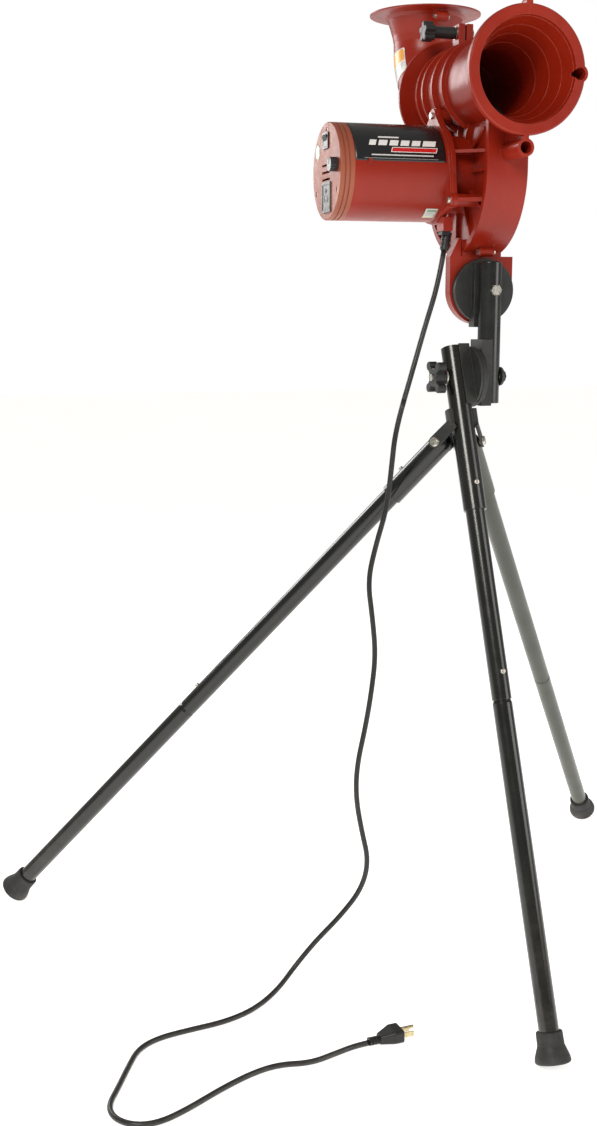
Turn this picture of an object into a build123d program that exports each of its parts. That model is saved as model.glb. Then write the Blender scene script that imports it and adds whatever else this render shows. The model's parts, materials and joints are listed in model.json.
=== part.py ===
from build123d import *
import math
import os

os.makedirs("parts", exist_ok=True)

# Baseball pitching machine on a folding tripod. Millimetres, +Z up, the muzzle faces -Y.
# The origin is on the floor, under the middle of the machine's outline.

# ------------------------------------------------------------------ tripod sizes
PIVOT_Z = 828.0            # height of the tilt bolt
STAND_YAW = 3.5            # the front leg's plane, turned about the mast from -Y
LEG_TILT = 20.65           # front leg's lean from the vertical
LEG_OFFSET = 47.0          # front leg's axis, beside the mast's axis
HINGE_Z = PIVOT_Z - 57     # height where the three legs' axes meet
LEFT_FOOT = (-621.0, 385.0)     # where the back legs meet the floor, from the mast's axis
REAR_FOOT = (413.0, 468.0)
UPPER_RADIUS = 15.0        # upper leg tubes
UPPER_WALL = 2.0
MAST_RADIUS = 15.0
MAST_WALL = 2.0
LEG_RADIUS = 12.7          # middle and lower leg tubes
LEG_WALL = 1.2
LOWER_WALL = 1.3
TUBE_GAP = 0.2             # radial play where one tube plugs into another
FRONT_TOP = 40.0           # front leg's top, above the tilt bolt along the leg
FRONT_UPPER = 182.0        # lengths below the tilt bolt: end of the upper tube
FRONT_MIDDLE = 430.0       # and of the middle tube
BACK_UPPER = 140.0         # the same on the back legs, below the point where the legs meet
BACK_MIDDLE = 587.0
PLUG_IN = 60.0             # length of tube inside tube
HINGE_REACH = 42.0         # from the meeting point to each back leg's hinge bolt
HINGE_BOLT_RADIUS = 4.0
CHEEK = 3.0                # bracket cheek
CHEEK_GAP = 0.6
CHEEK_HALF = 8.5
COLLAR_WALL = 6.0
COLLAR_FRONT = 6.0         # how far the saddle comes forward round the front leg
FIT = 0.05                 # radial play of a turning fit
SNUG = 0.1                 # radial play of a fixed fit
BUTTON_RADIUS = 3.5
BUTTON_UP = 35.0           # button above the joint line
BUTTON_OUT = 3.0
FOOT_LENGTH = 38.0
FOOT_TOP_RADIUS = 16.5
FOOT_BOTTOM_RADIUS = 22.5
FOOT_ROUND = 3.0
FOOT_DEPTH = 28.0          # tube inside the rubber foot

# ------------------------------------------------------------------ tilt and roll joints
DISC_RADIUS = 40.0         # tilt discs
DISC = 6.0
SADDLE_HALF = 17.0         # half width of the tilt saddles
LEG_SADDLE = 82.0          # their lengths along leg and mast
MAST_SADDLE = 87.0
JOINT_GAP = 0.3            # between the faces of two discs
TILT_BOLT_RADIUS = 4.5
KNOB_LOBE = 6.0
KNOB_PITCH = 20.0
KNOB_WIDTH = 11.0
MAST_BOTTOM = PIVOT_Z - 35
MAST_TOP = PIVOT_Z + 150
ROLL_Z = MAST_TOP - 37
ROLL_DISC_RADIUS = 42.0
ROLL_SADDLE_HALF = 18.0
ROLL_SADDLE_LOW = ROLL_Z - 48
ROLL_DISC_BACK = 30.0
ROLL_BOLT_RADIUS = 4.0
EAR_HALF = 45.0
EAR_PLATE = 6.0
EAR_RIM = 16.0
EAR_WALL = 3.5
LIP_Z = ROLL_Z + 40        # underside of the ear's lip
LIP = 5.0

# ------------------------------------------------------------------ head sizes
WHEEL_Y = 58.0
WHEEL_RADIUS = 92.0
WHEEL_HALF = 16.0
TYRE = 14.0
CASE_HALF = WHEEL_HALF + 12
CASE_WALL = 8.0
CASE_RADIUS = WHEEL_RADIUS + 5 + CASE_WALL
WHEEL_Z = LIP_Z + LIP + 2 + CASE_RADIUS
CASE_CORE = 22.0
CASE_SIDE_WALL = 3.5
BARREL_Z = WHEEL_Z + WHEEL_RADIUS + 20    # a ball in the barrel is pressed into the tyre
MUZZLE_Y = -100.0
MUZZLE_RADIUS = 77.5
MOUTH_RADIUS = 64.5
BARREL_RADIUS = 56.0
BARREL_END = 150.0
BORE_RADIUS = 41.0
RING_RADIUS = 62.0
RING = 4.0
RING_PLACES = (30.0, 65.0, 100.0, 122.0)
SOCKET_RADIUS = 11.0
SOCKET_BORE = 7.5
SOCKET_DEPTH = 32.0
SIDE_SOCKET = (70.0, BARREL_Z - 2)
LOW_SOCKET = (0.0, BARREL_Z - 92)
CAN_RADIUS = 62.0
FLANGE_RADIUS = CAN_RADIUS + 3           # motor flange
FLANGE = 6.0
FLANGE_X = -60.0
MOTOR_PITCH = CAN_RADIUS + 13            # mounting screws from the motor's axis
MOTOR_LOBE = 10.0
MOTOR_ANGLES = (90.0, 210.0, 330.0)
MOTOR_BOSS = 50.0
CAN_WALL = 2.5
CAN_END = -190.0
CAP_END = -209.0
PANEL = 3.0
SHAFT_RADIUS = 5.0
BEARING_RADIUS = 16.0
BEARING = 8.0
CLAMP_Y = 111.0
CLAMP_Z = BARREL_Z + 79
CLAMP_EAR = 9.0
CLAMP_GAP = 2.6
CLAMP_BOLT_RADIUS = 3.0

# ------------------------------------------------------------------ feed chute
SLEEVE_RADIUS = 46.0
SLEEVE_START = 98.0
SLEEVE_PLAY = 0.3
SLEEVE_OPEN = 14.0         # over the wheel only the sleeve's top is left, down to this below its axis
WHEEL_CLEAR = 4.0
COLLAR_RADIUS = 76.0
COLLAR = 4.0
ELBOW_START = 165.0
ELBOW_RADIUS = 90.0
CHUTE_WALL = 4.0
FUNNEL_Z = BARREL_Z + ELBOW_RADIUS + 40
FUNNEL_RADIUS = 80.0
FUNNEL_LIP = 2.5
NECK_RADIUS = 54.0

# ------------------------------------------------------------------ controls on the motor's end
ROCKER_AT = (2.0, 39.0)    # across and up from the motor's axis
ROCKER = (17.4, 14.4)
SWITCH_FRAME = (24.0, 21.0)
KNOB_AT = (-44.0, 5.0)
SPEED_KNOB_RADIUS = 9.0
OUTLET_AT = (-2.0, -33.0)
OUTLET = (32.0, 35.0)
BEZEL = 2.0
CAP_SCREW_PITCH = CAN_RADIUS - 10

# ------------------------------------------------------------------ cord
CORD_RADIUS = 3.5
RELIEF_TOP = WHEEL_Z - 71
RELIEF = (-54.0, 31.0, RELIEF_TOP - 29)   # lower end of the strain relief
RELIEF_STEM = 4.0


# ------------------------------------------------------------------ directions
UP = Vector(0, 0, 1)
YAW = math.radians(STAND_YAW)
LEAN = math.radians(LEG_TILT)
ACROSS = Vector(math.cos(YAW), math.sin(YAW), 0)       # along the tilt bolt
REAR = Vector(-math.sin(YAW), math.cos(YAW), 0)        # level, away from the front leg
DOWN_LEG = REAR * -math.sin(LEAN) - UP * math.cos(LEAN)
LEG_BACK = REAR * math.cos(LEAN) - UP * math.sin(LEAN)  # square to the front leg

PIVOT = Vector(0, 0, PIVOT_Z)
LEG_PIVOT = PIVOT - ACROSS * LEG_OFFSET
MEETING = LEG_PIVOT + DOWN_LEG * ((PIVOT_Z - HINGE_Z) / math.cos(LEAN))


def foot_end(top, x, y):
    """Middle of a foot's flat end, placed so that the rounded edge just touches the floor."""
    end = Vector(x, y, 0)
    for _ in range(8):
        down = (end - top).normalized()
        steep = -down.Z
        flat = math.sqrt(1 - steep * steep)
        height = (FOOT_BOTTOM_RADIUS - FOOT_ROUND) * flat + FOOT_ROUND * (1 - steep)
        end = Vector(end.X, end.Y, height)
    return end


def outermost(end, down, way):
    """How far a foot's rounded end reaches in a level direction."""
    along = down.dot(way)
    flat = math.sqrt(1 - along * along)
    return end.dot(way) - FOOT_ROUND * along + (FOOT_BOTTOM_RADIUS - FOOT_ROUND) * flat + FOOT_ROUND


steep_front = math.sin(LEAN) * (FOOT_BOTTOM_RADIUS - FOOT_ROUND)
FRONT_END_Z = steep_front + FOOT_ROUND * (1 - math.cos(LEAN))
FRONT_LENGTH = (PIVOT_Z - FRONT_END_Z) / math.cos(LEAN)
FRONT_END = LEG_PIVOT + DOWN_LEG * FRONT_LENGTH
LEFT_END = foot_end(MEETING, LEFT_FOOT[0], LEFT_FOOT[1])
REAR_END = foot_end(MEETING, REAR_FOOT[0], REAR_FOOT[1])
DOWN_LEFT = (LEFT_END - MEETING).normalized()
DOWN_REAR = (REAR_END - MEETING).normalized()
FEET = ((FRONT_END, DOWN_LEG), (LEFT_END, DOWN_LEFT), (REAR_END, DOWN_REAR))

LOW_X = -max(outermost(e, d, Vector(-1, 0, 0)) for e, d in FEET)
HIGH_X = max(outermost(e, d, Vector(1, 0, 0)) for e, d in FEET)
LOW_Y = -max(outermost(e, d, Vector(0, -1, 0)) for e, d in FEET)
HIGH_Y = max(outermost(e, d, Vector(0, 1, 0)) for e, d in FEET)
MAST_AT = Vector(-(LOW_X + HIGH_X) / 2, -(LOW_Y + HIGH_Y) / 2, 0)


def at(x, y, z):
    """A point measured from the foot of the mast's axis."""
    return MAST_AT + Vector(x, y, z)


def side_plane(x):
    """Faces +X; local x is +Y and local y is +Z."""
    return Plane(origin=at(x, 0, 0), x_dir=(0, 1, 0), z_dir=(1, 0, 0))


def front_plane(y):
    """Faces -Y; local x is +X and local y is +Z."""
    return Plane(origin=at(0, y, 0), x_dir=(1, 0, 0), z_dir=(0, -1, 0))


def level_plane(z):
    return Plane(origin=at(0, 0, z))


def leg_plane(start, down, face, s):
    """Square to a leg, s below its start; local x is the side that its buttons are on."""
    return Plane(origin=MAST_AT + start + down * s, x_dir=face, z_dir=down)


def tilt_plane(s):
    """Square to the tilt bolt, s from the mast's axis; local x is rear and local y is up."""
    return Plane(origin=MAST_AT + PIVOT + ACROSS * s, x_dir=REAR, z_dir=ACROSS)


def saddle_plane(s):
    """As tilt_plane, but local y runs up the front leg."""
    return Plane(origin=MAST_AT + PIVOT + ACROSS * s, x_dir=LEG_BACK, z_dir=ACROSS)


def save(piece, label):
    piece.part.label = label
    export_step(piece.part, f"parts/{label}.step")


# ------------------------------------------------------------------ legs
def upper_tube(start, down, face, top, end):
    with BuildPart() as piece:
        with BuildSketch(leg_plane(start, down, face, top)):
            Circle(UPPER_RADIUS)
            Circle(UPPER_RADIUS - UPPER_WALL, mode=Mode.SUBTRACT)
        extrude(amount=end - top)
        with BuildSketch(Plane(origin=MAST_AT + start + down * (end - BUTTON_UP), z_dir=face)):
            Circle(BUTTON_RADIUS + 0.2)
        extrude(amount=UPPER_RADIUS + 1, mode=Mode.SUBTRACT)
    return piece


def middle_tube(start, down, face, joint, end):
    plugged = UPPER_RADIUS - UPPER_WALL - TUBE_GAP
    with BuildPart() as piece:
        with BuildSketch(leg_plane(start, down, face, joint - PLUG_IN)):
            Circle(plugged)
        extrude(amount=PLUG_IN)
        with BuildSketch(leg_plane(start, down, face, joint)):
            Circle(LEG_RADIUS)
        extrude(amount=end - joint)
        with BuildSketch(leg_plane(start, down, face, joint - PLUG_IN)):
            Circle(LEG_RADIUS - LEG_WALL)
        extrude(amount=end - joint + PLUG_IN, mode=Mode.SUBTRACT)
        for s in (joint - BUTTON_UP, end - BUTTON_UP):
            with BuildSketch(Plane(origin=MAST_AT + start + down * s, z_dir=face)):
                Circle(BUTTON_RADIUS + 0.2)
            extrude(amount=UPPER_RADIUS + 1, mode=Mode.SUBTRACT)
    return piece


def lower_tube(start, down, face, joint, end):
    """The end that plugs into the middle tube is drawn down to a smaller radius."""
    plugged = LEG_RADIUS - LEG_WALL - TUBE_GAP
    with BuildPart() as piece:
        with BuildSketch(leg_plane(start, down, face, joint - PLUG_IN)):
            Circle(plugged)
        extrude(amount=PLUG_IN + 1)
        with BuildSketch(leg_plane(start, down, face, joint + 1)):
            Circle(plugged)
        with BuildSketch(leg_plane(start, down, face, joint + 5)):
            Circle(LEG_RADIUS)
        loft()
        with BuildSketch(leg_plane(start, down, face, joint + 5)):
            Circle(LEG_RADIUS)
        extrude(amount=end - joint - 5)
        with BuildSketch(leg_plane(start, down, face, joint - PLUG_IN)):
            Circle(plugged - LOWER_WALL)
        extrude(amount=end - joint + PLUG_IN, mode=Mode.SUBTRACT)
        with BuildSketch(Plane(origin=MAST_AT + start + down * (joint - BUTTON_UP), z_dir=face)):
            Circle(BUTTON_RADIUS + 0.2)
        extrude(amount=UPPER_RADIUS + 1, mode=Mode.SUBTRACT)
    return piece


def rubber_foot(start, down, face, length):
    """Crutch tip: a sleeve that flares to a wide, flat, rounded end."""
    section = Plane(origin=MAST_AT + start + down * length, x_dir=face, z_dir=face.cross(down) * -1)
    with BuildPart() as piece:
        with BuildSketch(section):
            with BuildLine():
                Polyline(
                    (0, 0),
                    (0, FOOT_LENGTH),
                    (FOOT_TOP_RADIUS - 1, FOOT_LENGTH),
                    (FOOT_TOP_RADIUS, FOOT_LENGTH - 1),
                    (FOOT_TOP_RADIUS + 0.4, FOOT_LENGTH * 0.56),
                    (FOOT_BOTTOM_RADIUS - 0.8, 8),
                    (FOOT_BOTTOM_RADIUS, FOOT_ROUND),
                )
                RadiusArc(
                    (FOOT_BOTTOM_RADIUS, FOOT_ROUND),
                    (FOOT_BOTTOM_RADIUS - FOOT_ROUND, 0),
                    FOOT_ROUND,
                )
                Line((FOOT_BOTTOM_RADIUS - FOOT_ROUND, 0), (0, 0))
            make_face()
        revolve(axis=Axis(MAST_AT + start, down))
        with BuildSketch(leg_plane(start, down, face, length - FOOT_LENGTH)):
            Circle(LEG_RADIUS + SNUG)
        extrude(amount=FOOT_DEPTH, mode=Mode.SUBTRACT)
    return piece


def snap_button(start, down, face, s, inner, outer):
    """Domed pin on a flange, with the leaf that springs it from inside a tube of inner radius."""
    middle = MAST_AT + start + down * s
    flange = math.sqrt(inner ** 2 - (BUTTON_RADIUS + 1.3) ** 2) - 1.5
    with BuildPart() as piece:
        with BuildSketch(Plane(origin=middle + face * flange, z_dir=face)):
            Circle(BUTTON_RADIUS + 1.3)
        extrude(amount=1.2)
        with BuildSketch(Plane(origin=middle + face * flange, z_dir=face)):
            Circle(BUTTON_RADIUS)
        extrude(amount=outer + BUTTON_OUT - flange)
        fillet(piece.faces().sort_by(Axis(middle, face))[-1].edges(), 1.6)
        with BuildSketch(Plane(origin=middle, x_dir=down, z_dir=down.cross(face))):
            Polygon(
                (-2, flange + 0.6),
                (-2, flange),
                (20, 0.6),
                (24, 3.0),
                (23.4, 3.6),
                (19.6, 1.4),
                (0, flange + 0.6),
                align=None,
            )
        extrude(amount=2.5, both=True)
    return piece


def make_leg(name, start, down, face, tube, upper, middle, length):
    save(tube, f"{name}_leg_upper")
    save(middle_tube(start, down, face, upper, middle), f"{name}_leg_middle")
    end = length - FOOT_LENGTH + FOOT_DEPTH
    save(lower_tube(start, down, face, middle, end), f"{name}_leg_lower")
    save(rubber_foot(start, down, face, length), f"{name}_leg_foot")
    high = snap_button(start, down, face, upper - BUTTON_UP, LEG_RADIUS - LEG_WALL, UPPER_RADIUS)
    save(high, f"{name}_button_high")
    bore = LEG_RADIUS - LEG_WALL - TUBE_GAP - LOWER_WALL
    low = snap_button(start, down, face, middle - BUTTON_UP, bore, LEG_RADIUS)
    save(low, f"{name}_button_low")


def hinged_tube(start, down, face):
    """Upper tube of a back leg, closed at the top by a dome about its hinge bolt."""
    tube = upper_tube(start, down, face, HINGE_REACH, BACK_UPPER)
    turn = down.cross(DOWN_LEG).normalized()
    pin = MAST_AT + start + down * HINGE_REACH
    with BuildPart() as dome:
        with BuildSketch(Plane(origin=pin, x_dir=turn, z_dir=down.cross(turn))):
            with BuildLine():
                Line((0, 0), (0, UPPER_RADIUS))
                RadiusArc((0, UPPER_RADIUS), (UPPER_RADIUS, 0), UPPER_RADIUS)
                Line((UPPER_RADIUS, 0), (0, 0))
            make_face()
        revolve(axis=Axis(pin, down))
    with BuildPart() as piece:
        add(tube.part)
        add(dome.part)
        with BuildSketch(Plane(origin=pin - turn * (UPPER_RADIUS + 1), z_dir=turn)):
            Circle(HINGE_BOLT_RADIUS + FIT)
        extrude(amount=2 * UPPER_RADIUS + 2, mode=Mode.SUBTRACT)
    return piece


FRONT_FACE = LEG_BACK * -1
LEFT_FACE = (UP - DOWN_LEFT * UP.dot(DOWN_LEFT)).normalized()
REAR_FACE = (UP - DOWN_REAR * UP.dot(DOWN_REAR)).normalized()

# the front leg's tube is drilled for the tilt bolt
front_upper = upper_tube(LEG_PIVOT, DOWN_LEG, FRONT_FACE, -FRONT_TOP, FRONT_UPPER)
with BuildPart() as front_leg_upper:
    add(front_upper.part)
    with BuildSketch(tilt_plane(-LEG_OFFSET - UPPER_RADIUS - 1)):
        Circle(TILT_BOLT_RADIUS + SNUG)
    extrude(amount=2 * UPPER_RADIUS + 2, mode=Mode.SUBTRACT)

make_leg("front", LEG_PIVOT, DOWN_LEG, FRONT_FACE, front_leg_upper, FRONT_UPPER, FRONT_MIDDLE,
         FRONT_LENGTH)
make_leg("left", MEETING, DOWN_LEFT, LEFT_FACE, hinged_tube(MEETING, DOWN_LEFT, LEFT_FACE),
         BACK_UPPER, BACK_MIDDLE, (LEFT_END - MEETING).length)
make_leg("rear", MEETING, DOWN_REAR, REAR_FACE, hinged_tube(MEETING, DOWN_REAR, REAR_FACE),
         BACK_UPPER, BACK_MIDDLE, (REAR_END - MEETING).length)

# ------------------------------------------------------------------ hinge bracket for the back legs
CHEEK_IN = UPPER_RADIUS + CHEEK_GAP
COLLAR_OUT = UPPER_RADIUS + SNUG + COLLAR_WALL
with BuildPart() as leg_hinge_bracket:
    # saddle behind the front leg
    with BuildSketch(leg_plane(MEETING, DOWN_LEG, FRONT_FACE, -16)):
        Circle(COLLAR_OUT)
        with Locations((COLLAR_OUT + COLLAR_FRONT, 0)):
            Rectangle(2 * COLLAR_OUT, 3 * COLLAR_OUT, mode=Mode.SUBTRACT)
    extrude(amount=24)
    # a pair of cheeks along each back leg's top
    for down in (DOWN_LEFT, DOWN_REAR):
        turn = down.cross(DOWN_LEG).normalized()
        for low in (CHEEK_IN, -CHEEK_IN - CHEEK):
            with BuildSketch(Plane(origin=MAST_AT + MEETING + turn * low, x_dir=down, z_dir=turn)):
                Polygon(
                    (6, -CHEEK_HALF + 1),
                    (HINGE_REACH, -CHEEK_HALF),
                    (HINGE_REACH, CHEEK_HALF),
                    (6, CHEEK_HALF - 1),
                    align=None,
                )
                with Locations((HINGE_REACH, 0)):
                    Circle(CHEEK_HALF)
            extrude(amount=CHEEK)
    with BuildSketch(leg_plane(MEETING, DOWN_LEG, FRONT_FACE, -25)):
        Circle(UPPER_RADIUS + SNUG)
    extrude(amount=80, mode=Mode.SUBTRACT)
    for down in (DOWN_LEFT, DOWN_REAR):
        turn = down.cross(DOWN_LEG).normalized()
        pin = MAST_AT + MEETING + down * HINGE_REACH
        with BuildSketch(Plane(origin=pin - turn * 30, z_dir=turn)):
            Circle(HINGE_BOLT_RADIUS + SNUG)
        extrude(amount=60, mode=Mode.SUBTRACT)
save(leg_hinge_bracket, "leg_hinge_bracket")

with BuildPart() as leg_hinge_bolts:
    for down in (DOWN_LEFT, DOWN_REAR):
        turn = down.cross(DOWN_LEG).normalized()
        pin = MAST_AT + MEETING + down * HINGE_REACH
        reach = CHEEK_IN + CHEEK
        with BuildSketch(Plane(origin=pin - turn * reach, z_dir=turn)):
            Circle(HINGE_BOLT_RADIUS)
        extrude(amount=2 * reach)
        for way in (-1, 1):
            with BuildSketch(Plane(origin=pin + turn * (reach * way), z_dir=turn * way)):
                Circle(7)
            extrude(amount=3.2, taper=24)
save(leg_hinge_bolts, "leg_hinge_bolts")

# ------------------------------------------------------------------ tilt joint
DISC_MEET = -(LEG_OFFSET - UPPER_RADIUS + MAST_RADIUS) / 2     # where the two discs face each other
LEG_DISC = DISC_MEET - JOINT_GAP / 2 - DISC
with BuildPart() as tilt_disc_leg:
    with BuildSketch(tilt_plane(LEG_DISC)):
        Circle(DISC_RADIUS)
    extrude(amount=DISC)
    with BuildSketch(saddle_plane(-LEG_OFFSET + 2)):
        Rectangle(2 * SADDLE_HALF, LEG_SADDLE)
    extrude(amount=LEG_DISC - 2 + LEG_OFFSET)
    with BuildSketch(tilt_plane(LEG_DISC + DISC * 0.45)):
        Circle(DISC_RADIUS + 1)
        Circle(DISC_RADIUS - 1.2, mode=Mode.SUBTRACT)
    extrude(amount=1.2, mode=Mode.SUBTRACT)
    with BuildSketch(leg_plane(LEG_PIVOT, DOWN_LEG, FRONT_FACE, -70)):
        Circle(UPPER_RADIUS + SNUG)
    extrude(amount=140, mode=Mode.SUBTRACT)
    with BuildSketch(tilt_plane(-LEG_OFFSET)):
        Circle(TILT_BOLT_RADIUS + SNUG)
    extrude(amount=LEG_OFFSET, mode=Mode.SUBTRACT)
save(tilt_disc_leg, "tilt_disc_leg")

MAST_DISC = DISC_MEET + JOINT_GAP / 2
with BuildPart() as tilt_disc_mast:
    with BuildSketch(tilt_plane(MAST_DISC)):
        Circle(DISC_RADIUS - 2)
    extrude(amount=DISC - 1)
    with BuildSketch(tilt_plane(MAST_DISC + DISC - 1)):
        with Locations((0, (MAST_BOTTOM - 3 + MAST_SADDLE / 2) - PIVOT_Z)):
            Rectangle(2 * SADDLE_HALF, MAST_SADDLE)
    extrude(amount=-MAST_DISC - DISC - 2)
    with BuildSketch(level_plane(MAST_BOTTOM - 20)):
        Circle(MAST_RADIUS + SNUG)
    extrude(amount=160, mode=Mode.SUBTRACT)
    with BuildSketch(tilt_plane(MAST_DISC - 1)):
        Circle(TILT_BOLT_RADIUS + FIT)
    extrude(amount=LEG_OFFSET, mode=Mode.SUBTRACT)
save(tilt_disc_mast, "tilt_disc_mast")

with BuildPart() as mast_tube:
    with BuildSketch(level_plane(MAST_BOTTOM)):
        Circle(MAST_RADIUS)
    extrude(amount=MAST_TOP - MAST_BOTTOM)
    with BuildSketch(level_plane(MAST_BOTTOM)):
        Circle(MAST_RADIUS - MAST_WALL)
    extrude(amount=MAST_TOP - MAST_BOTTOM - 3, mode=Mode.SUBTRACT)
    with BuildSketch(tilt_plane(-MAST_RADIUS - 1)):
        Circle(TILT_BOLT_RADIUS + FIT)
    extrude(amount=2 * MAST_RADIUS + 2, mode=Mode.SUBTRACT)
    with BuildSketch(front_plane(MAST_RADIUS + 1)):
        with Locations((0, ROLL_Z)):
            Circle(ROLL_BOLT_RADIUS + SNUG)
    extrude(amount=2 * MAST_RADIUS + 2, mode=Mode.SUBTRACT)
    fillet(mast_tube.faces().sort_by(Axis.Z)[-1].edges(), 1.5)
save(mast_tube, "mast_tube")

# the tilt bolt stays with the front leg; the mast turns on it
BOLT_FAR = MAST_RADIUS + 10
with BuildPart() as tilt_bolt:
    with BuildSketch(tilt_plane(-LEG_OFFSET - UPPER_RADIUS - 22)):
        Circle(TILT_BOLT_RADIUS)
    extrude(amount=LEG_OFFSET + UPPER_RADIUS + 22 + BOLT_FAR)
    with BuildSketch(tilt_plane(MAST_RADIUS + JOINT_GAP)):
        Circle(13)
    extrude(amount=3.5, taper=12)
    with BuildSketch(tilt_plane(MAST_RADIUS + JOINT_GAP + 3.5)):
        RegularPolygon(7.5, 6)
    extrude(amount=5)
    with BuildSketch(tilt_plane(-LEG_OFFSET - UPPER_RADIUS - 2)):
        Circle(10)
    extrude(amount=1.9)
save(tilt_bolt, "tilt_bolt")

KNOB_BASE = -LEG_OFFSET - UPPER_RADIUS - 2.4
with BuildPart() as tilt_knob:
    with BuildSketch(tilt_plane(KNOB_BASE - 6)):
        Circle(9.5)
    extrude(amount=6)
    with BuildSketch(tilt_plane(KNOB_BASE - 6 - KNOB_WIDTH)):
        Circle(12)
        with PolarLocations(0, 4, start_angle=45):
            with Locations((KNOB_PITCH / 2, 0)):
                Rectangle(KNOB_PITCH, 9)
        with PolarLocations(KNOB_PITCH, 4, start_angle=45):
            Circle(KNOB_LOBE)
    extrude(amount=KNOB_WIDTH)
    fillet(tilt_knob.faces().sort_by(Axis(MAST_AT + PIVOT, ACROSS))[0].edges(), 1.2)
    with BuildSketch(tilt_plane(KNOB_BASE - 6 - KNOB_WIDTH - 1)):
        Circle(TILT_BOLT_RADIUS + FIT)
    extrude(amount=30, mode=Mode.SUBTRACT)
save(tilt_knob, "tilt_knob")

# ------------------------------------------------------------------ roll joint
with BuildPart() as roll_disc:
    with BuildSketch(front_plane(ROLL_DISC_BACK)):
        with Locations((0, ROLL_Z)):
            Circle(ROLL_DISC_RADIUS)
    extrude(amount=ROLL_DISC_BACK - MAST_RADIUS - 4)
    with BuildSketch(front_plane(ROLL_DISC_BACK - 3)):
        with Locations((0, (ROLL_SADDLE_LOW + MAST_TOP) / 2)):
            Rectangle(2 * ROLL_SADDLE_HALF, MAST_TOP - ROLL_SADDLE_LOW)
    extrude(amount=ROLL_DISC_BACK - 3 - 10)
    with BuildSketch(level_plane(ROLL_SADDLE_LOW - 20)):
        Circle(MAST_RADIUS + SNUG)
    extrude(amount=160, mode=Mode.SUBTRACT)
    with BuildSketch(front_plane(ROLL_DISC_BACK + 1)):
        with Locations((0, ROLL_Z)):
            Circle(ROLL_BOLT_RADIUS + SNUG)
    extrude(amount=60, mode=Mode.SUBTRACT)
save(roll_disc, "roll_disc")

EAR_FRONT = ROLL_DISC_BACK + JOINT_GAP
with BuildPart() as roll_bolt:
    with BuildSketch(front_plane(EAR_FRONT + EAR_PLATE + 12)):
        with Locations((0, ROLL_Z)):
            Circle(ROLL_BOLT_RADIUS)
    extrude(amount=EAR_FRONT + EAR_PLATE + 12 + MAST_RADIUS + 4)
    with BuildSketch(front_plane(-MAST_RADIUS - 2)):
        with Locations((0, ROLL_Z)):
            RegularPolygon(7.2, 6)
    extrude(amount=5.5)
    with BuildSketch(front_plane(EAR_FRONT + EAR_PLATE + JOINT_GAP + 2)):
        with Locations((0, ROLL_Z)):
            Circle(11)
    extrude(amount=2)
    with BuildSketch(front_plane(EAR_FRONT + EAR_PLATE + JOINT_GAP + 8)):
        with Locations((0, ROLL_Z)):
            RegularPolygon(7.2, 6)
    extrude(amount=6)
save(roll_bolt, "roll_bolt")


def ear_outline(inset):
    """The ear's outline, in from its edge, on the plane of the sketch that is being built."""
    half = EAR_HALF - inset
    high = LIP_Z + LIP - (inset and LIP)
    with Locations((0, ROLL_Z)):
        Circle(half)
    Polygon(
        (-half, ROLL_Z),
        (half, ROLL_Z),
        (half, high),
        (-CASE_HALF - 1.5, high),
        (-CASE_HALF - 1.5 - inset * 0.8, high + 24 - inset),
        (-33 + inset * 0.2, high + 24 - inset),
        (-half, high),
        align=None,
    )


with BuildPart() as pivot_bracket:
    with BuildSketch(front_plane(EAR_FRONT + EAR_PLATE)):
        ear_outline(0)
    extrude(amount=EAR_PLATE)
    with BuildSketch(front_plane(EAR_FRONT + EAR_RIM)):
        ear_outline(0)
        ear_outline(EAR_WALL)
    extrude(amount=EAR_RIM - EAR_PLATE)
    with BuildSketch(front_plane(EAR_FRONT + EAR_RIM)):
        with Locations((0, ROLL_Z)):
            Circle(EAR_HALF - EAR_WALL)
        with Locations((0, (ROLL_Z + LIP_Z) / 2)):
            Rectangle(2 * (EAR_HALF - EAR_WALL), LIP_Z - ROLL_Z)
    extrude(amount=EAR_RIM - EAR_PLATE, mode=Mode.SUBTRACT)
    with BuildSketch(front_plane(EAR_FRONT + EAR_PLATE)):
        for angle in (-60, 0, 60):
            with Locations((0, ROLL_Z)):
                Rectangle(3, 76, rotation=angle)
    extrude(amount=-(EAR_RIM - EAR_PLATE) + 3)
    with BuildSketch(level_plane(LIP_Z)):
        with Locations((0, EAR_FRONT + 14)):
            Rectangle(2 * CASE_HALF + 6, 2 * 14)
    extrude(amount=LIP)
    with BuildSketch(front_plane(EAR_FRONT + 60)):
        with Locations((0, ROLL_Z)):
            Circle(ROLL_BOLT_RADIUS + FIT)
    extrude(amount=80, mode=Mode.SUBTRACT)
    with BuildSketch(front_plane(EAR_FRONT + 60)):
        with Locations((0, ROLL_Z)):
            Circle(11.6)
    extrude(amount=60 - EAR_PLATE, mode=Mode.SUBTRACT)
    with BuildSketch(level_plane(LIP_Z - 1)):
        with Locations((-22, EAR_FRONT + 20), (22, EAR_FRONT + 20)):
            Circle(2.6)
    extrude(amount=LIP + 2, mode=Mode.SUBTRACT)
save(pivot_bracket, "pivot_bracket")

with BuildPart() as pivot_bracket_screws:
    with BuildSketch(level_plane(LIP_Z - 3)):
        with Locations((-22, EAR_FRONT + 20), (22, EAR_FRONT + 20)):
            Circle(4.6)
    extrude(amount=3)
    with BuildSketch(level_plane(LIP_Z)):
        with Locations((-22, EAR_FRONT + 20), (22, EAR_FRONT + 20)):
            Circle(2.4)
    extrude(amount=LIP + 5)
save(pivot_bracket_screws, "pivot_bracket_screws")

# ------------------------------------------------------------------ housing with barrel
BARREL_AXIS = Axis(at(0, 0, BARREL_Z), (0, 1, 0))
SEAM_PITCH = CASE_RADIUS + 4.7
SEAM_LUGS = [(WHEEL_Y + SEAM_PITCH * math.cos(math.radians(a)),
              WHEEL_Z + SEAM_PITCH * math.sin(math.radians(a))) for a in (248, 302, 345)]
CASE_PAD = LIP_Z + LIP


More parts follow.
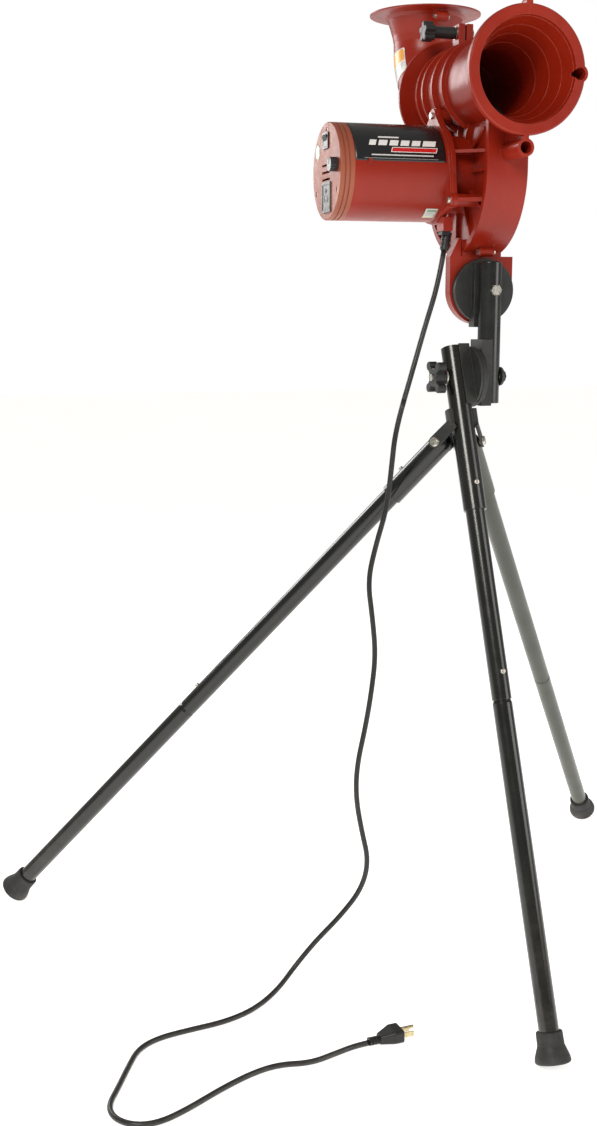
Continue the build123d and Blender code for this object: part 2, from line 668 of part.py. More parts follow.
def case_outline():
    with Locations((WHEEL_Y, WHEEL_Z)):
        Circle(CASE_RADIUS)
    Polygon(
        (WHEEL_Y - CASE_RADIUS, WHEEL_Z),
        (WHEEL_Y - CASE_RADIUS, BARREL_Z - 12),
        (BARREL_END - 4, BARREL_Z - 12),
        (BARREL_END - 4, BARREL_Z - BARREL_RADIUS + 4),
        (WHEEL_Y + CASE_RADIUS, WHEEL_Z),
        align=None,
    )


def motor_outline(inset):
    """Round flange with three screw lobes, hollow between them."""
    with Locations((WHEEL_Y, WHEEL_Z)):
        Circle(FLANGE_RADIUS - inset)
    for angle in MOTOR_ANGLES:
        turn = math.radians(angle)
        way = Vector(math.cos(turn), math.sin(turn))
        across = Vector(-way.Y, way.X)
        middle = Vector(WHEEL_Y, WHEEL_Z)
        tip = middle + way * MOTOR_PITCH
        base = middle + way * (FLANGE_RADIUS * 0.8)
        wide = 36 - inset
        narrow = MOTOR_LOBE - inset
        corners = [base + across * wide, tip + across * narrow, tip - across * narrow, base - across * wide]
        Polygon(*[(c.X, c.Y) for c in corners], align=None)
        with Locations((tip.X, tip.Y)):
            Circle(narrow)


with BuildPart() as housing_body:
    with BuildSketch(side_plane(-CASE_CORE)):
        case_outline()
    extrude(amount=2 * CASE_CORE)
    with BuildSketch(side_plane(-CASE_HALF)):
        case_outline()
        offset(amount=-CASE_WALL, mode=Mode.SUBTRACT)
    extrude(amount=2 * CASE_HALF)
    # ribs in the recessed sides
    with BuildSketch(side_plane(-CASE_HALF + 1)):
        for angle in (0, 30, 60, 90, 120, 150):
            with Locations((WHEEL_Y, WHEEL_Z)):
                Rectangle(2 * CASE_RADIUS - 6, 3.2, rotation=angle)
    extrude(amount=2 * CASE_HALF - 2)
    # barrel with its flared muzzle
    with BuildSketch(side_plane(0)):
        with BuildLine():
            Polyline(
                (MUZZLE_Y, BARREL_Z),
                (MUZZLE_Y, BARREL_Z + MUZZLE_RADIUS - 1.5),
                (MUZZLE_Y + 1.5, BARREL_Z + MUZZLE_RADIUS),
                (MUZZLE_Y + 9, BARREL_Z + MUZZLE_RADIUS),
                (MUZZLE_Y + 12, BARREL_Z + MUZZLE_RADIUS - 5),
            )
            Spline(
                (MUZZLE_Y + 12, BARREL_Z + MUZZLE_RADIUS - 5),
                (MUZZLE_Y + 30, BARREL_Z + BARREL_RADIUS + 7),
                (MUZZLE_Y + 56, BARREL_Z + BARREL_RADIUS),
                tangents=[(1, -0.9), (1, 0)],
            )
            Polyline(
                (MUZZLE_Y + 56, BARREL_Z + BARREL_RADIUS),
                (BARREL_END, BARREL_Z + BARREL_RADIUS),
                (BARREL_END, BARREL_Z),
                (MUZZLE_Y, BARREL_Z),
            )
        make_face()
    revolve(axis=BARREL_AXIS)
    for place in RING_PLACES:
        with BuildSketch(front_plane(place + RING)):
            with Locations((0, BARREL_Z)):
                Circle(RING_RADIUS)
        extrude(amount=RING)
    # rib along the seam
    with BuildSketch(front_plane(BARREL_END - 4)):
        with Locations((0, BARREL_Z + BARREL_RADIUS + 1)):
            Rectangle(9, 6)
    extrude(amount=BARREL_END - 4 - 22)
    # sockets at the muzzle, and the small nub over it
    with BuildSketch(front_plane(MUZZLE_Y + SOCKET_DEPTH + 6)):
        with Locations(SIDE_SOCKET):
            Circle(SOCKET_RADIUS)
    extrude(amount=SOCKET_DEPTH + 6)
    with BuildSketch(front_plane(WHEEL_Y - CASE_RADIUS + 12)):
        with Locations(LOW_SOCKET):
            Circle(SOCKET_RADIUS)
        with Locations((0, (LOW_SOCKET[1] + BARREL_Z - MUZZLE_RADIUS) / 2 + 4)):
            Rectangle(7, BARREL_Z - MUZZLE_RADIUS - LOW_SOCKET[1] + 14)
    extrude(amount=WHEEL_Y - CASE_RADIUS + 12 - MUZZLE_Y)
    with BuildSketch(front_plane(MUZZLE_Y + 16)):
        with Locations((0, BARREL_Z + MUZZLE_RADIUS + 2)):
            Circle(4.2)
        with Locations((0, BARREL_Z + MUZZLE_RADIUS - 3)):
            Rectangle(8.4, 10)
    extrude(amount=16)
    # boss and flange that carry the motor
    with BuildSketch(side_plane(FLANGE_X)):
        motor_outline(0)
    extrude(amount=FLANGE)
    with BuildSketch(side_plane(FLANGE_X + FLANGE)):
        with Locations((WHEEL_Y, WHEEL_Z)):
            Circle(MOTOR_BOSS)
        for angle in MOTOR_ANGLES:
            turn = math.radians(angle)
            with Locations((WHEEL_Y + MOTOR_PITCH * math.cos(turn), WHEEL_Z + MOTOR_PITCH * math.sin(turn))):
                Circle(MOTOR_LOBE - 2)
    extrude(amount=-FLANGE_X - FLANGE - CASE_CORE)
    # gusset from the front screw lobe to the case
    with BuildSketch(level_plane(WHEEL_Z - MOTOR_PITCH / 2 - 2.5)):
        Polygon(
            (FLANGE_X + 1, WHEEL_Y - MOTOR_PITCH * 0.87 - 8),
            (-CASE_CORE, WHEEL_Y - CASE_RADIUS + 16),
            (-CASE_CORE, WHEEL_Y - 30),
            (FLANGE_X + 1, WHEEL_Y - 30),
            align=None,
        )
    extrude(amount=5)
    with BuildSketch(level_plane(WHEEL_Z + 22)):
        Polygon(
            (FLANGE_X + 4, WHEEL_Y - 58),
            (-CASE_CORE, WHEEL_Y - 82),
            (-CASE_CORE, WHEEL_Y - 30),
            (FLANGE_X + 4, WHEEL_Y - 30),
            align=None,
        )
    extrude(amount=4)
    # block under the flange for the cord's strain relief
    with BuildSketch(level_plane(RELIEF_TOP - 4)):
        with Locations((RELIEF[0] + 0.5, RELIEF[1])):
            Rectangle(13, 24)
    extrude(amount=18)
    # outer side: bearing boss
    with BuildSketch(side_plane(CASE_CORE)):
        with Locations((WHEEL_Y, WHEEL_Z)):
            Circle(28)
    extrude(amount=BEARING + 2)
    # screw lugs round the seam, the foot for the ear, and the clamp ears
    with BuildSketch(side_plane(-10)):
        with Locations(*SEAM_LUGS):
            Circle(6)
    extrude(amount=20)
    with BuildSketch(level_plane(CASE_PAD)):
        with Locations((0, EAR_FRONT + 14)):
            Rectangle(2 * CASE_HALF, 2 * 14)
    extrude(amount=22)
    with BuildSketch(side_plane(-CLAMP_GAP / 2 - CLAMP_EAR)):
        with Locations((CLAMP_Y, CLAMP_Z)):
            Circle(11)
        with Locations((CLAMP_Y, (CLAMP_Z + BARREL_Z) / 2 + 4)):
            Rectangle(22, CLAMP_Z - BARREL_Z - 8)
        with Locations((CLAMP_Y, CLAMP_Z + 5)):
            Rectangle(22, 12)
    extrude(amount=2 * CLAMP_EAR + CLAMP_GAP)
    # bore: mouth that narrows in steps, straight run, and the seat of the chute
    with BuildSketch(side_plane(0)):
        Polygon(
            (MUZZLE_Y - 1, BARREL_Z),
            (MUZZLE_Y - 1, BARREL_Z + MOUTH_RADIUS),
            (MUZZLE_Y + 5, BARREL_Z + MOUTH_RADIUS - 1),
            (MUZZLE_Y + 5, BARREL_Z + MOUTH_RADIUS - 1.5),
            (MUZZLE_Y + 24, BARREL_Z + 57),
            (MUZZLE_Y + 24, BARREL_Z + 56.6),
            (MUZZLE_Y + 46, BARREL_Z + 50.5),
            (MUZZLE_Y + 46, BARREL_Z + 50.1),
            (MUZZLE_Y + 74, BARREL_Z + 44.5),
            (MUZZLE_Y + 74, BARREL_Z + 44.1),
            (MUZZLE_Y + 106, BARREL_Z + BORE_RADIUS),
            (SLEEVE_START - 2, BARREL_Z + BORE_RADIUS),
            (SLEEVE_START - 2, BARREL_Z + SLEEVE_RADIUS + SLEEVE_PLAY),
            (BARREL_END + 1, BARREL_Z + SLEEVE_RADIUS + SLEEVE_PLAY),
            (BARREL_END + 1, BARREL_Z),
            align=None,
        )
    revolve(axis=BARREL_AXIS, mode=Mode.SUBTRACT)
    # flat back for the chute's collar to turn on
    with BuildSketch(front_plane(BARREL_END + 30)):
        with Locations((0, BARREL_Z)):
            Circle(COLLAR_RADIUS + 2)
    extrude(amount=30, mode=Mode.SUBTRACT)
    # wheel space, open to the bore
    with BuildSketch(side_plane(-CASE_CORE + CASE_SIDE_WALL)):
        with Locations((WHEEL_Y, WHEEL_Z)):
            Circle(CASE_RADIUS - CASE_WALL)
    extrude(amount=2 * (CASE_CORE - CASE_SIDE_WALL), mode=Mode.SUBTRACT)
    # hollow of the motor boss, bearing seats and shaft holes
    with BuildSketch(side_plane(FLANGE_X + FLANGE)):
        with Locations((WHEEL_Y, WHEEL_Z)):
            Circle(MOTOR_BOSS - 4)
    extrude(amount=-FLANGE_X - FLANGE - CASE_CORE, mode=Mode.SUBTRACT)
    with BuildSketch(side_plane(FLANGE_X - 1)):
        with Locations((WHEEL_Y, WHEEL_Z)):
            Circle(BEARING_RADIUS + SNUG)
    extrude(amount=-FLANGE_X + 1, mode=Mode.SUBTRACT)
    with BuildSketch(side_plane(0)):
        with Locations((WHEEL_Y, WHEEL_Z)):
            Circle(BEARING_RADIUS + SNUG)
    extrude(amount=CASE_CORE + BEARING + 0.2, mode=Mode.SUBTRACT)
    # clamp: slit over the chute's seat, and its bolt hole
    with BuildSketch(side_plane(-CLAMP_GAP / 2)):
        with Locations((CLAMP_Y + 12, BARREL_Z + 70)):
            Rectangle(60, 80)
    extrude(amount=CLAMP_GAP, mode=Mode.SUBTRACT)
    with BuildSketch(side_plane(-30)):
        with Locations((CLAMP_Y, CLAMP_Z)):
            Circle(CLAMP_BOLT_RADIUS + SNUG)
        with Locations(*SEAM_LUGS):
            Circle(2.0 + SNUG)
    extrude(amount=60, mode=Mode.SUBTRACT)
    # sockets, with the slot from the side socket into the mouth
    with BuildSketch(front_plane(MUZZLE_Y + SOCKET_DEPTH)):
        with Locations(SIDE_SOCKET, LOW_SOCKET):
            Circle(SOCKET_BORE)
    extrude(amount=SOCKET_DEPTH + 1, mode=Mode.SUBTRACT)
    with BuildSketch(front_plane(MUZZLE_Y + 9)):
        with Locations((SIDE_SOCKET[0] - 9, SIDE_SOCKET[1])):
            Rectangle(12, 5)
    extrude(amount=10, mode=Mode.SUBTRACT)
    # motor screws, ear screws and strain relief
    with BuildSketch(side_plane(FLANGE_X - 1)):
        for angle in MOTOR_ANGLES:
            turn = math.radians(angle)
            with Locations((WHEEL_Y + MOTOR_PITCH * math.cos(turn), WHEEL_Z + MOTOR_PITCH * math.sin(turn))):
                Circle(2.3)
    extrude(amount=16, mode=Mode.SUBTRACT)
    with BuildSketch(level_plane(CASE_PAD - 1)):
        with Locations((-22, EAR_FRONT + 20), (22, EAR_FRONT + 20)):
            Circle(2.5)
    extrude(amount=8, mode=Mode.SUBTRACT)
    with BuildSketch(level_plane(RELIEF_TOP - 5)):
        with Locations((RELIEF[0], RELIEF[1])):
            Circle(RELIEF_STEM + SNUG)
    extrude(amount=14, mode=Mode.SUBTRACT)

with BuildPart() as housing_motor_side:
    add(housing_body.part)
    split(bisect_by=side_plane(0), keep=Keep.BOTTOM)
save(housing_motor_side, "housing_motor_side")

with BuildPart() as housing_outer_side:
    add(housing_body.part)
    split(bisect_by=side_plane(0), keep=Keep.TOP)
save(housing_outer_side, "housing_outer_side")

with BuildPart() as housing_screws:
    with BuildSketch(side_plane(-11)):
        with Locations(*SEAM_LUGS):
            Circle(2.0)
    extrude(amount=21)
    with BuildSketch(side_plane(10)):
        with Locations(*SEAM_LUGS):
            Circle(4.0)
    extrude(amount=2.6, taper=15)
    with BuildSketch(side_plane(-10)):
        with Locations(*SEAM_LUGS):
            RegularPolygon(4.2, 6)
    extrude(amount=-3)
save(housing_screws, "housing_screws")

# ------------------------------------------------------------------ wheel
with BuildPart() as wheel_tyre:
    with BuildSketch(side_plane(-WHEEL_HALF)):
        with Locations((WHEEL_Y, WHEEL_Z)):
            Circle(WHEEL_RADIUS)
            Circle(WHEEL_RADIUS - TYRE, mode=Mode.SUBTRACT)
    extrude(amount=2 * WHEEL_HALF)
    crown = wheel_tyre.edges().filter_by(GeomType.CIRCLE).sort_by(SortBy.RADIUS)[-2:]
    fillet(crown, 3.0)
save(wheel_tyre, "wheel_tyre")

with BuildPart() as wheel_hub:
    with BuildSketch(side_plane(-WHEEL_HALF)):
        with Locations((WHEEL_Y, WHEEL_Z)):
            Circle(WHEEL_RADIUS - TYRE - SNUG)
            Circle(WHEEL_RADIUS - TYRE - SNUG - 6, mode=Mode.SUBTRACT)
            Circle(16)
    extrude(amount=2 * WHEEL_HALF)
    with BuildSketch(side_plane(-3)):
        with Locations((WHEEL_Y, WHEEL_Z)):
            Circle(WHEEL_RADIUS - TYRE - 4)
            with PolarLocations(44, 6):
                Circle(13, mode=Mode.SUBTRACT)
    extrude(amount=6)
    with BuildSketch(side_plane(-WHEEL_HALF - 1)):
        with Locations((WHEEL_Y, WHEEL_Z)):
            Circle(SHAFT_RADIUS + SNUG)
    extrude(amount=2 * WHEEL_HALF + 2, mode=Mode.SUBTRACT)
save(wheel_hub, "wheel_hub")

CORE_START = FLANGE_X - 4
ROTOR_RADIUS = 23.0
with BuildPart() as motor_shaft:
    with BuildSketch(side_plane(FLANGE_X - 92)):
        with Locations((WHEEL_Y, WHEEL_Z)):
            Circle(SHAFT_RADIUS)
    extrude(amount=-FLANGE_X + 92 + CASE_CORE + BEARING)
    with BuildSketch(side_plane(CORE_START - 74)):
        with Locations((WHEEL_Y, WHEEL_Z)):
            Circle(ROTOR_RADIUS)
    extrude(amount=60)
save(motor_shaft, "motor_shaft")

with BuildPart() as motor_bearings:
    for start in (FLANGE_X + 0.2, CASE_CORE):
        with BuildSketch(side_plane(start)):
            with Locations((WHEEL_Y, WHEEL_Z)):
                Circle(BEARING_RADIUS)
                Circle(SHAFT_RADIUS + FIT, mode=Mode.SUBTRACT)
        extrude(amount=BEARING)
save(motor_bearings, "motor_bearings")

# stator in its steel cup, screwed to the flange
with BuildPart() as motor_core:
    with BuildSketch(side_plane(FLANGE_X)):
        with Locations((WHEEL_Y, WHEEL_Z)):
            Circle(46)
            Circle(20, mode=Mode.SUBTRACT)
    extrude(amount=-4)
    with BuildSketch(side_plane(FLANGE_X - 4)):
        with Locations((WHEEL_Y, WHEEL_Z)):
            Circle(39)
            Circle(36, mode=Mode.SUBTRACT)
    extrude(amount=-80)
    with BuildSketch(side_plane(CORE_START - 14)):
        with Locations((WHEEL_Y, WHEEL_Z)):
            Circle(37)
            Circle(ROTOR_RADIUS + 1, mode=Mode.SUBTRACT)
            with PolarLocations(ROTOR_RADIUS + 5, 8):
                Rectangle(6, 5, mode=Mode.SUBTRACT)
    extrude(amount=-60)
    with BuildSketch(side_plane(FLANGE_X - 84)):
        with Locations((WHEEL_Y, WHEEL_Z)):
            Circle(39)
            Circle(SHAFT_RADIUS + FIT, mode=Mode.SUBTRACT)
    extrude(amount=-4)
save(motor_core, "motor_core")

# ------------------------------------------------------------------ motor can and its end
CAN_FLANGE = 3.0
with BuildPart() as motor_can:
    with BuildSketch(side_plane(FLANGE_X)):
        motor_outline(0.8)
    extrude(amount=-CAN_FLANGE)
    with BuildSketch(side_plane(FLANGE_X)):
        with Locations((WHEEL_Y, WHEEL_Z)):
            Circle(CAN_RADIUS)
    extrude(amount=CAN_END - FLANGE_X)
    with BuildSketch(side_plane(FLANGE_X - 112)):
        with Locations((WHEEL_Y - CAN_RADIUS * 0.992, WHEEL_Z + 8)):
            Rectangle(5, 8)
    extrude(amount=4.5)
    with BuildSketch(side_plane(FLANGE_X)):
        with Locations((WHEEL_Y, WHEEL_Z)):
            Circle(CAN_RADIUS - CAN_WALL)
    extrude(amount=CAN_END - FLANGE_X, mode=Mode.SUBTRACT)
    with BuildSketch(side_plane(FLANGE_X)):
        for angle in MOTOR_ANGLES:
            turn = math.radians(angle)
            with Locations((WHEEL_Y + MOTOR_PITCH * math.cos(turn), WHEEL_Z + MOTOR_PITCH * math.sin(turn))):
                Circle(2.3)
    extrude(amount=-CAN_FLANGE, mode=Mode.SUBTRACT)
save(motor_can, "motor_can")

with BuildPart() as motor_mount_screws:
    for angle in MOTOR_ANGLES:
        turn = math.radians(angle)
        place = (WHEEL_Y + MOTOR_PITCH * math.cos(turn), WHEEL_Z + MOTOR_PITCH * math.sin(turn))
        with BuildSketch(side_plane(FLANGE_X - CAN_FLANGE)):
            with Locations(place):
                Circle(2.2)
        extrude(amount=16)
        with BuildSketch(side_plane(FLANGE_X - CAN_FLANGE)):
            with Locations(place):
                Circle(4.6)
        extrude(amount=-3, taper=12)
save(motor_mount_screws, "motor_mount_screws")

CAP_SCREWS = [(WHEEL_Y + CAP_SCREW_PITCH * math.cos(math.radians(a)),
               WHEEL_Z + CAP_SCREW_PITCH * math.sin(math.radians(a))) for a in (90, 210, 330)]
ROCKER_YZ = (WHEEL_Y + ROCKER_AT[0], WHEEL_Z + ROCKER_AT[1])
KNOB_YZ = (WHEEL_Y + KNOB_AT[0], WHEEL_Z + KNOB_AT[1])
OUTLET_YZ = (WHEEL_Y + OUTLET_AT[0], WHEEL_Z + OUTLET_AT[1])
PANEL_IN = CAP_END + PANEL
with BuildPart() as motor_end_cap:
    with BuildSketch(side_plane(CAN_END)):
        with Locations((WHEEL_Y, WHEEL_Z)):
            Circle(CAN_RADIUS)
    extrude(amount=CAP_END - CAN_END)
    fillet(motor_end_cap.faces().sort_by(Axis.X)[0].edges(), 1.6)
    for groove in (CAP_END + 5.5, CAP_END + 11.5):
        with BuildSketch(side_plane(groove)):
            with Locations((WHEEL_Y, WHEEL_Z)):
                Circle(CAN_RADIUS + 1)
                Circle(CAN_RADIUS - 1.3, mode=Mode.SUBTRACT)
        extrude(amount=1.8, mode=Mode.SUBTRACT)
    with BuildSketch(side_plane(CAN_END)):
        with Locations((WHEEL_Y, WHEEL_Z)):
            Circle(CAN_RADIUS - CAN_WALL - SNUG)
    extrude(amount=8)
    with BuildSketch(side_plane(PANEL_IN)):
        with Locations((WHEEL_Y, WHEEL_Z)):
            Circle(CAN_RADIUS - CAN_WALL - 2.4)
    extrude(amount=CAN_END + 8 - PANEL_IN, mode=Mode.SUBTRACT)
    with BuildSketch(side_plane(PANEL_IN)):
        with Locations(*CAP_SCREWS):
            Circle(4.6)
    extrude(amount=CAN_END - PANEL_IN)
    with BuildSketch(side_plane(CAP_END)):
        with Locations(ROCKER_YZ):
            Rectangle(SWITCH_FRAME[0] - 2.4, SWITCH_FRAME[1] - 2.4)
        with Locations(OUTLET_YZ):
            Rectangle(OUTLET[0], OUTLET[1])
        with Locations(KNOB_YZ):
            Circle(4.2)
        with Locations(*CAP_SCREWS):
            Circle(3.3)
    extrude(amount=2.2, mode=Mode.SUBTRACT)
    with BuildSketch(side_plane(CAP_END)):
        with Locations(ROCKER_YZ):
            Rectangle(SWITCH_FRAME[0] - 2.4, SWITCH_FRAME[1] - 2.4)
        with Locations(OUTLET_YZ):
            Rectangle(OUTLET[0], OUTLET[1])
        with Locations(KNOB_YZ):
            Circle(4.2)
        with Locations(*CAP_SCREWS):
            Circle(1.7)
        for step in (-10, -1, 8):
            with Locations((WHEEL_Y + 3, WHEEL_Z + step)):
                SlotOverall(34, 2.8)
    extrude(amount=CAN_END - CAP_END, mode=Mode.SUBTRACT)
save(motor_end_cap, "motor_end_cap")

with BuildPart() as end_cap_screws:
    with BuildSketch(side_plane(CAP_END + 0.7)):
        with Locations(*CAP_SCREWS):
            Circle(3.0)
            Rectangle(0.8, 3.8, mode=Mode.SUBTRACT)
            Rectangle(3.8, 0.8, mode=Mode.SUBTRACT)
    extrude(amount=0.8)
    with BuildSketch(side_plane(CAP_END + 1.4)):
        with Locations(*CAP_SCREWS):
            Circle(3.0)
    extrude(amount=0.8)
    with BuildSketch(side_plane(CAP_END + 2.2)):
        with Locations(*CAP_SCREWS):
            Circle(1.6)
    extrude(amount=CAN_END - CAP_END - 2.2)
save(end_cap_screws, "end_cap_screws")

with BuildPart() as power_switch_frame:
    with BuildSketch(side_plane(CAP_END)):
        with Locations(ROCKER_YZ):
            RectangleRounded(SWITCH_FRAME[0], SWITCH_FRAME[1], 1.5)
    extrude(amount=-BEZEL)
    with BuildSketch(side_plane(CAP_END)):
        with Locations(ROCKER_YZ):
            Rectangle(SWITCH_FRAME[0] - 2.6, SWITCH_FRAME[1] - 2.6)
    extrude(amount=14)
    with BuildSketch(side_plane(CAP_END - BEZEL)):
        with Locations(ROCKER_YZ):
            Rectangle(ROCKER[0] + 0.8, ROCKER[1] + 0.8)
    extrude(amount=BEZEL + 9, mode=Mode.SUBTRACT)
save(power_switch_frame, "power_switch_frame")

# the rocker stands tipped, in its off position, and turns about a level pin along Y
ROCKER_TIP = math.radians(8)
ROCKER_PIN = at(CAP_END + 1.5, ROCKER_YZ[0], ROCKER_YZ[1])
with BuildPart() as power_rocker:
    with BuildSketch(Plane(origin=ROCKER_PIN, x_dir=(math.cos(ROCKER_TIP), 0, math.sin(ROCKER_TIP)),
                           z_dir=(0, -1, 0))):
        Polygon(
            (-4.4, -ROCKER[1] / 2 + 0.35),
            (-3.2, 0),
            (-4.4, ROCKER[1] / 2 - 0.35),
            (1.5, ROCKER[1] / 2 - 0.9),
            (4.2, 2.0),
            (4.2, -2.0),
            (1.5, -ROCKER[1] / 2 + 0.9),
            align=None,
        )
    extrude(amount=ROCKER[0] / 2, both=True)
    with BuildSketch(Plane(origin=ROCKER_PIN, z_dir=(0, 1, 0))):
        Circle(2.0)
    extrude(amount=ROCKER[0] / 2 + 0.2, both=True)
save(power_rocker, "power_rocker")

with BuildPart() as speed_control:
    with BuildSketch(side_plane(PANEL_IN)):
        with Locations(KNOB_YZ):
            Circle(8)
    extrude(amount=9)
    with BuildSketch(side_plane(PANEL_IN)):
        with Locations(KNOB_YZ):
            Circle(4.1)
    extrude(amount=-PANEL)
    with BuildSketch(side_plane(CAP_END)):
        with Locations(KNOB_YZ):
            Circle(3.0)
    extrude(amount=-8)
save(speed_control, "speed_control")

with BuildPart() as speed_knob:
    with BuildSketch(side_plane(CAP_END - 0.6)):
        with Locations(KNOB_YZ):
            Circle(SPEED_KNOB_RADIUS)
            with PolarLocations(SPEED_KNOB_RADIUS + 0.3, 16):
                Circle(0.9, mode=Mode.SUBTRACT)
    extrude(amount=-10)
    with BuildSketch(side_plane(CAP_END - 10.6)):
        with Locations((KNOB_YZ[0], KNOB_YZ[1] + SPEED_KNOB_RADIUS / 2)):
            Rectangle(1.4, SPEED_KNOB_RADIUS)
    extrude(amount=0.7, mode=Mode.SUBTRACT)
    with BuildSketch(side_plane(CAP_END - 0.6)):
        with Locations(KNOB_YZ):
            Circle(3.0 + FIT)
    extrude(amount=-8, mode=Mode.SUBTRACT)
save(speed_knob, "speed_knob")

with BuildPart() as feeder_outlet:
    with BuildSketch(side_plane(CAP_END)):
        with Locations(OUTLET_YZ):
            RectangleRounded(OUTLET[0] + 4, OUTLET[1] + 4, 1.5)
    extrude(amount=-BEZEL)
    with BuildSketch(side_plane(CAP_END)):
        with Locations(OUTLET_YZ):
            Rectangle(OUTLET[0] - 0.4, OUTLET[1] - 0.4)
    extrude(amount=15)
    with BuildSketch(side_plane(CAP_END - BEZEL)):
        with Locations(OUTLET_YZ):
            Rectangle(OUTLET[0] - 3, OUTLET[1] - 3)
    extrude(amount=0.8, mode=Mode.SUBTRACT)
    with BuildSketch(side_plane(CAP_END - BEZEL)):
        with Locations((OUTLET_YZ[0] - 6.3, OUTLET_YZ[1] - 2), (OUTLET_YZ[0] + 6.3, OUTLET_YZ[1] - 2)):
            Rectangle(2.0, 8.5)
        with Locations((OUTLET_YZ[0], OUTLET_YZ[1] + 8)):
            Circle(2.7)
    extrude(amount=13, mode=Mode.SUBTRACT)
save(feeder_outlet, "feeder_outlet")

# board on the ends of the cap's screw posts
with BuildPart() as control_board:
    with BuildSketch(side_plane(CAN_END)):
        with Locations((WHEEL_Y, WHEEL_Z + 6)):
            Rectangle(88, 56)
        with Locations((WHEEL_Y, WHEEL_Z + 40)):
            Rectangle(30, 30)
    extrude(amount=1.6)
    with BuildSketch(side_plane(CAN_END + 1.6)):
        with Locations((WHEEL_Y - 20, WHEEL_Z + 10)):
            Rectangle(26, 22)
    extrude(amount=16)
    with BuildSketch(side_plane(CAN_END + 1.6)):
        with Locations((WHEEL_Y + 18, WHEEL_Z + 16), (WHEEL_Y + 18, WHEEL_Z - 8)):
            Circle(8)
    extrude(amount=20)
save(control_board, "control_board")

# ------------------------------------------------------------------ feed chute
CHUTE_Y = ELBOW_START + ELBOW_RADIUS
CHUTE_TOP = BARREL_Z + ELBOW_RADIUS
CHUTE_OUT = BORE_RADIUS + CHUTE_WALL
DISC_START = BARREL_END + SLEEVE_PLAY
BEND_AXIS = Axis(at(0, ELBOW_START, CHUTE_TOP), (1, 0, 0))
CHUTE_AXIS = Axis(at(0, CHUTE_Y, 0), (0, 0, 1))
CHUTE_LUGS = ((CHUTE_Y - 63, FUNNEL_Z - 13), (ELBOW_START + 89, CHUTE_TOP - 107),
              (CHUTE_Y + 55, FUNNEL_Z - 30))
# the sleeve is whole only where it clears the wheel
WHEEL_RISE = BARREL_Z - SLEEVE_RADIUS - WHEEL_CLEAR - WHEEL_Z
SLEEVE_FULL = WHEEL_Y + math.sqrt(WHEEL_RADIUS ** 2 - WHEEL_RISE ** 2)
with BuildPart() as chute_body:
    with BuildSketch(front_plane(DISC_START)):
        with Locations((0, BARREL_Z)):
            Circle(SLEEVE_RADIUS)
    extrude(amount=DISC_START - SLEEVE_START)
    with BuildSketch(front_plane(SLEEVE_FULL)):
        with Locations((0, BARREL_Z - SLEEVE_OPEN - SLEEVE_RADIUS)):
            Rectangle(3 * SLEEVE_RADIUS, 2 * SLEEVE_RADIUS)
    extrude(amount=SLEEVE_FULL - SLEEVE_START + 1, mode=Mode.SUBTRACT)
    with BuildSketch(front_plane(DISC_START + COLLAR)):
        with Locations((0, BARREL_Z)):
            Circle(COLLAR_RADIUS)
    extrude(amount=COLLAR)
    with BuildSketch(front_plane(ELBOW_START)):
        with Locations((0, BARREL_Z)):
            Circle(CHUTE_OUT)
    extrude(amount=ELBOW_START - DISC_START - COLLAR)
    with BuildSketch(front_plane(ELBOW_START)):
        with Locations((0, BARREL_Z)):
            Circle(CHUTE_OUT)
    revolve(axis=BEND_AXIS, revolution_arc=90)
    with BuildSketch(side_plane(0)):
        Polygon(
            (CHUTE_Y, CHUTE_TOP),
            (CHUTE_Y + CHUTE_OUT, CHUTE_TOP),
            (CHUTE_Y + CHUTE_OUT + 2, CHUTE_TOP + 10),
            (CHUTE_Y + NECK_RADIUS, FUNNEL_Z - 8),
            (CHUTE_Y + NECK_RADIUS + 4, FUNNEL_Z - FUNNEL_LIP - 1.5),
            (CHUTE_Y + FUNNEL_RADIUS - 3, FUNNEL_Z - FUNNEL_LIP),
            (CHUTE_Y + FUNNEL_RADIUS, FUNNEL_Z - FUNNEL_LIP + 1),
            (CHUTE_Y + FUNNEL_RADIUS, FUNNEL_Z),
            (CHUTE_Y, FUNNEL_Z),
            align=None,
        )
    revolve(axis=CHUTE_AXIS)
    with BuildSketch(side_plane(-9)):
        with Locations(*CHUTE_LUGS):
            Circle(7)
        with Locations((CHUTE_Y - 56, FUNNEL_Z - 9)):
            Rectangle(16, 14)
        with Locations((CHUTE_Y + 49, FUNNEL_Z - 26)):
            Rectangle(14, 14)
    extrude(amount=18)
    # passage
    with BuildSketch(front_plane(ELBOW_START)):
        with Locations((0, BARREL_Z)):
            Circle(BORE_RADIUS)
    extrude(amount=ELBOW_START, mode=Mode.SUBTRACT)
    with BuildSketch(front_plane(ELBOW_START)):
        with Locations((0, BARREL_Z)):
            Circle(BORE_RADIUS)
    revolve(axis=BEND_AXIS, revolution_arc=90, mode=Mode.SUBTRACT)
    with BuildSketch(side_plane(0)):
        Polygon(
            (CHUTE_Y, CHUTE_TOP),
            (CHUTE_Y + BORE_RADIUS, CHUTE_TOP),
            (CHUTE_Y + BORE_RADIUS + 2, CHUTE_TOP + 10),
            (CHUTE_Y + NECK_RADIUS - CHUTE_WALL, FUNNEL_Z - 8),
            (CHUTE_Y + NECK_RADIUS + 1, FUNNEL_Z),
            (CHUTE_Y, FUNNEL_Z),
            align=None,
        )
    revolve(axis=CHUTE_AXIS, mode=Mode.SUBTRACT)
    with BuildSketch(side_plane(-10)):
        with Locations(*CHUTE_LUGS):
            Circle(2.0 + SNUG)
    extrude(amount=20, mode=Mode.SUBTRACT)

with BuildPart() as chute_left_half:
    add(chute_body.part)
    split(bisect_by=side_plane(0), keep=Keep.BOTTOM)
save(chute_left_half, "chute_left_half")

